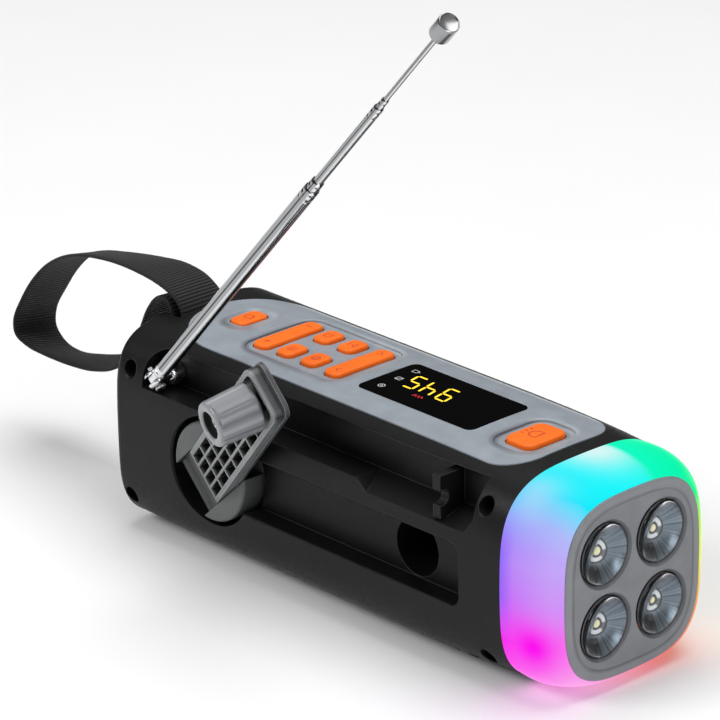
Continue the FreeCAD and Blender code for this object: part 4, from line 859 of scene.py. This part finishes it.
# ---- turned pieces -------------------------------------------------------------------------
def turned(name, profile, place, look, body, nodes, around=56, shape=None, smooth=35.0):
    """A piece turned about its own X axis through (s, r) points, moved by place."""
    rows = []
    for s_at, r in profile:
        row = []
        for i in range(around):
            a = 2 * math.pi * i / around
            rr = r if shape is None else shape(s_at, r, a)
            row.append(place @ Vector((s_at, rr * math.cos(a), rr * math.sin(a))))
        rows.append(row)
    mesh = grid_mesh(name, rows, closed_cols=True)
    made = piece(name, mesh, look, body, smooth=smooth)
    if nodes:
        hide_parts(*nodes)
    return made


TUBES = (                   # number, outer radius, bore radius, start and end along the antenna
    (1, 2.60, 2.21, 9.0, 145.0), (2, 2.17, 1.69, 22.0, 150.0),
    (3, 1.65, 1.26, 90.0, 200.0), (4, 1.22, 0.89, 100.0, 205.0),
)
TIP = (                     # (place along the antenna, radius): a button with a dished end
    (245.9, 0.5), (246.0, 2.7), (246.1, 3.1), (246.35, 3.4), (246.7, 3.5), (253.3, 3.5), (253.65, 3.47),
    (253.9, 3.34), (254.0, 3.15), (253.95, 3.0), (253.6, 2.85), (253.55, 2.7), (253.55, 0.02),
)
FOOT = (
    (4.15, 0.02), (4.2, 1.7), (4.4, 2.2), (4.8, 2.45), (5.4, 2.6), (6.6, 2.64), (6.9, 2.40), (7.4, 2.40),
    (7.7, 2.62), (9.3, 2.60),
)
STUD = (                    # (distance out of the side, radius): a round shank and its domed head
    (20.4, 0.02), (20.4, 2.95), (26.3, 2.95), (26.35, 4.3), (29.6, 4.3), (30.6, 4.15), (31.3, 3.8),
    (31.9, 3.2), (32.3, 2.2), (32.4, 0.02),
)
CHEEK = (                   # (distance from the antenna's middle plane, radius)
    (1.35, 0.9), (1.35, 3.1), (1.42, 3.36), (1.62, 3.46), (1.95, 3.36), (2.35, 3.1), (2.7, 2.65),
    (2.95, 2.1), (3.1, 1.4), (3.12, 0.05),
)
TONGUE = ((-1.2, -0.35), (-1.05, -0.08), (-0.85, 0), (0.85, 0), (1.05, -0.08), (1.2, -0.35))
NECK = ((1.36, 0.0), (1.5, 0.2), (2.2, 0.1), (2.5, -0.3))


def drawn_tubes():
    """Four drawn tubes, each grooved and swaged in at its mouth, a rod and a turned tip."""
    for n, r, bore, start, end in TUBES:
        profile = [
            (start, bore), (start, r), (end - 6.4, r), (end - 6.2, r), (end - 5.9, r - 0.10),
            (end - 5.5, r - 0.10), (end - 5.2, r), (end - 2.6, r), (end - 2.3, r - 0.12),
            (end - 1.9, r - 0.12), (end - 1.6, r), (end - 0.9, r), (end - 0.35, r - 0.08),
            (end - 0.06, r - 0.25), (end, (r + bore) / 2), (end - 0.15, bore), (end - 3.0, bore)]
        turned(f"antenna_tube_{n}_drawn", profile, ANTENNA_FRAME, TUBE, f"antenna_{n}",
               [f"antenna_tube_{n}"], around=72)
    turned("antenna_rod_drawn", [(150.0, 0.02), (150.0, 0.85), (246.2, 0.85)], ANTENNA_FRAME, TUBE,
           "antenna_5", ["antenna_rod"], around=40)
    turned("antenna_tip_turned", TIP, ANTENNA_FRAME, SATIN, "antenna_5", ["antenna_tip"],
           around=72, smooth=24)


def antenna_foot():
    """The swaged foot of the first tube, and its flattened tongue."""
    turned("antenna_foot", FOOT, ANTENNA_FRAME, CHROME, "antenna_1", [], around=72)
    radius, root, half = 2.35, 6.0, 2.3
    turns = np.linspace(-math.pi / 2, -3 * math.pi / 2, 25)
    rows = []
    for y, grow in TONGUE:
        swell = 1 + grow / 2.4
        ring = [(root, -half - grow)]
        ring += [(radius * math.cos(a) * swell, radius * math.sin(a) * swell) for a in turns]
        ring += [(root, half + grow)]
        rows.append([ANTENNA_FRAME @ Vector((px, y, pz)) for px, pz in ring])
    tongue = grid_mesh("antenna_tongue", rows, closed_cols=True, caps=True)
    piece("antenna_tongue", tongue, CHROME, "antenna_1", smooth=40)


def antenna_fork():
    """The swivelling stud: a domed head, and two round cheeks on their necks."""
    out_of_side = Matrix(((0, 1, 0, 0), (-1, 0, 0, 0), (0, 0, 1, 0), (0, 0, 0, 1)))
    out_of_side.translation = Vector((HINGE.x, 0, HINGE.z))
    turned("antenna_stud_foot", STUD, out_of_side, CHROME, "antenna_stud", ["antenna_stud"])
    cheek_frame = Matrix((TILT_PIN, OUT, TILT_PIN.cross(OUT))).transposed().to_4x4()
    cheek_frame.translation = HINGE
    length, half = 6.0, 2.9
    for side in (-1, 1):
        turned(f"antenna_cheek_{side + 2}", [(side * s_at, r) for s_at, r in CHEEK], cheek_frame, CHROME,
               "antenna_stud", [])
        rows = []
        for y, grow in NECK:
            ring = ((-length, -half - grow), (0.0, -half - grow), (0.0, half + grow), (-length, half + grow))
            rows.append([cheek_frame @ Vector((side * y, px, pz)) for px, pz in ring])
        name = f"antenna_neck_{side + 2}"
        neck = grid_mesh(name, rows, closed_cols=True, caps=True)
        piece(name, neck, CHROME, "antenna_stud", smooth=40)


drawn_tubes()
antenna_foot()
antenna_fork()


def knob():
    """A tapered grip with narrow flutes, a rolled front edge and a deep well for its screw."""
    base, tip = 2.95, 18.9      # out of the arm's face
    shoulder, flutes = base + 0.7, 12
    top_r, taper = 8.62, 0.62

    def fluted(s_at, r, a):
        if s_at < 4.4 or s_at > 17.6 or r < 5.5:
            return r
        fade = min((s_at - 4.4) / 1.2, (17.6 - s_at) / 1.2, 1.0)
        away = abs((a * flutes / (2 * math.pi) + 0.5) % 1 - 0.5) * 2 * math.pi / flutes * r
        return r - fade * 0.07 * math.exp(-(away / 0.30) ** 2)

    profile = [(base, 1.6), (base, 8.1), (base + 0.25, 8.5), (shoulder, top_r)]
    profile += [(shoulder + 13.9 * i / 26, top_r - taper * i / 26) for i in range(1, 27)]
    profile += [(tip - 1.0, 7.92), (tip - 0.55, 7.80), (tip - 0.22, 7.54), (tip - 0.04, 7.2), (tip, 6.8),
                (tip, 5.0), (tip - 0.06, 4.9), (tip - 0.3, 4.78), (tip - 0.5, 4.72)]
    well = [(tip - 0.35, 4.76), (tip - 2.4, 4.6), (tip - 2.6, 3.9), (tip - 3.0, 3.8), (base + 3.0, 3.4),
            (base + 3.0, 1.6)]
    ring = [(tip - 2.9, 3.1), (tip - 2.5, 3.1), (tip - 2.3, 2.9), (tip - 2.3, 2.3), (tip - 2.5, 2.1),
            (tip - 3.6, 2.1)]
    upright = Matrix(((0, 0, 1, 0), (0, 1, 0, 0), (1, 0, 0, 0), (0, 0, 0, 1)))
    place = ARM_FRAME @ Matrix.Translation((KNOB_AT, 0, 0)) @ upright
    turned("crank_knob_grip", profile, place, KNOB, "knob", ["crank_knob"], around=240,
           shape=fluted, smooth=50)
    turned("crank_knob_well", well, place, RUBBER, "knob", [], around=64)
    turned("crank_knob_screw_ring", ring, place, STEEL, "knob", [], around=64)


knob()


# ---- lamp lenses and reflectors ---------------------------------------------------------
def lamp_optics():
    """Domed lenses over shallow plated dishes, in place of the plain ones."""
    floor_x, back_x, rim_x = 101.7, 104.1, 105.35
    dish = [(floor_x, 0.02), (floor_x, 3.2), (floor_x + 0.1, 3.5)]
    dish += [(floor_x + 0.1 + 2.2 * t ** 1.6, 3.5 + 6.6 * t) for t in (i / 14 for i in range(1, 15))]
    dome = [(back_x, 0.02), (back_x, LENS_R - 0.12), (back_x + 0.1, LENS_R), (rim_x - 0.05, LENS_R + 0.02)]
    for a in (math.pi / 2 * (1 - i / 18) for i in range(1, 18)):
        dome.append((rim_x + 2.2 * math.cos(a), LENS_R * math.sin(a)))
    dome.append((rim_x + 2.2, 0.02))
    centres = [(y, LAMP_Z + dz) for y in (-LENS_OFF, LENS_OFF) for dz in (-LENS_OFF, LENS_OFF)]
    for n, (y, z) in enumerate(centres):
        place = Matrix.Translation((0, y, z))
        stands_for = (["lamp_reflectors"], ["lamp_lenses"]) if n == 0 else ([], [])
        turned(f"lamp_dish_{n + 1}", dish, place, REFLECTOR, "radio", stands_for[0], around=96,
               smooth=60)
        turned(f"lamp_dome_{n + 1}", dome, place, LENS, "radio", stands_for[1], around=96,
               smooth=50)


lamp_optics()


# ---- camera, lights and floor ----------------------------------------------------------------
def stage():
    """The camera, a pale floor, a soft grey sky that lightens upwards, and three soft lights."""
    camera = bpy.data.objects.new("camera", bpy.data.cameras.new("camera"))
    bpy.context.scene.collection.objects.link(camera)
    right = Vector((0.67823712, 0.73466878, -0.0160062))
    up = Vector((-0.26665066, 0.26634895, 0.92625896))
    back = Vector((0.68475677, -0.62395514, 0.37654766))
    turn = Matrix((right, up, back)).transposed().to_4x4()
    camera.matrix_world = Matrix.Translation((1.01821, -0.94801, 0.64776)) @ turn
    camera.data.lens, camera.data.sensor_width = 226.2, 36.0
    camera.data.clip_start, camera.data.clip_end = 0.05, 50.0
    bpy.context.scene.camera = camera

    floor = bpy.data.meshes.new("floor")
    half = 6.0
    corners = [(-half, -half, 0), (half, -half, 0), (half, half, 0), (-half, half, 0)]
    floor.from_pydata(corners, [], [(0, 1, 2, 3)])
    ground = bpy.data.objects.new("floor", floor)
    bpy.context.scene.collection.objects.link(ground)
    paper = Look("pale floor", (0.87, 0.87, 0.87), 0.9, Specular_IOR_Level=0.1)
    paper.mottle((0.87, 0.87, 0.87), 0.01, 0.01)
    floor.materials.append(paper.mat)

    world = bpy.data.worlds.new("studio")
    bpy.context.scene.world = world
    world.use_nodes = True
    tree = world.node_tree
    sky = tree.nodes.new("ShaderNodeTexCoord").outputs["Generated"]
    split = tree.nodes.new("ShaderNodeSeparateXYZ")
    tree.links.new(sky, split.inputs["Vector"])
    shade = tree.nodes.new("ShaderNodeValToRGB")
    greys = ((0.05, (0.16, 0.16, 0.17, 1)), (0.75, (1, 1, 1, 1)))
    for element, (at, colour) in zip(shade.color_ramp.elements, greys):
        element.position, element.color = at, colour
    tree.links.new(split.outputs["Z"], shade.inputs["Fac"])
    tree.links.new(shade.outputs["Color"], tree.nodes["Background"].inputs["Color"])
    tree.nodes["Background"].inputs["Strength"].default_value = 0.36
    for name, at, aim, size, power in (
            ("key", (-0.6, -1.5, 1.3), (0, 0, 0.04), (1.1, 0.8), 20),
            ("top", (0.0, 0.3, 1.6), (0, 0, 0.04), (1.6, 1.2), 19),
            ("front", (1.8, -0.3, 0.7), (0.05, 0, 0.04), (0.6, 0.9), 8)):
        lamp = bpy.data.lights.new(name, "AREA")
        lamp.shape, lamp.size, lamp.size_y, lamp.energy = "RECTANGLE", size[0], size[1], power
        made = bpy.data.objects.new(name, lamp)
        bpy.context.scene.collection.objects.link(made)
        made.location = at
        made.rotation_euler = (Vector(at) - Vector(aim)).to_track_quat("Z", "Y").to_euler()
    bpy.context.scene.view_settings.view_transform = "Standard"


stage()
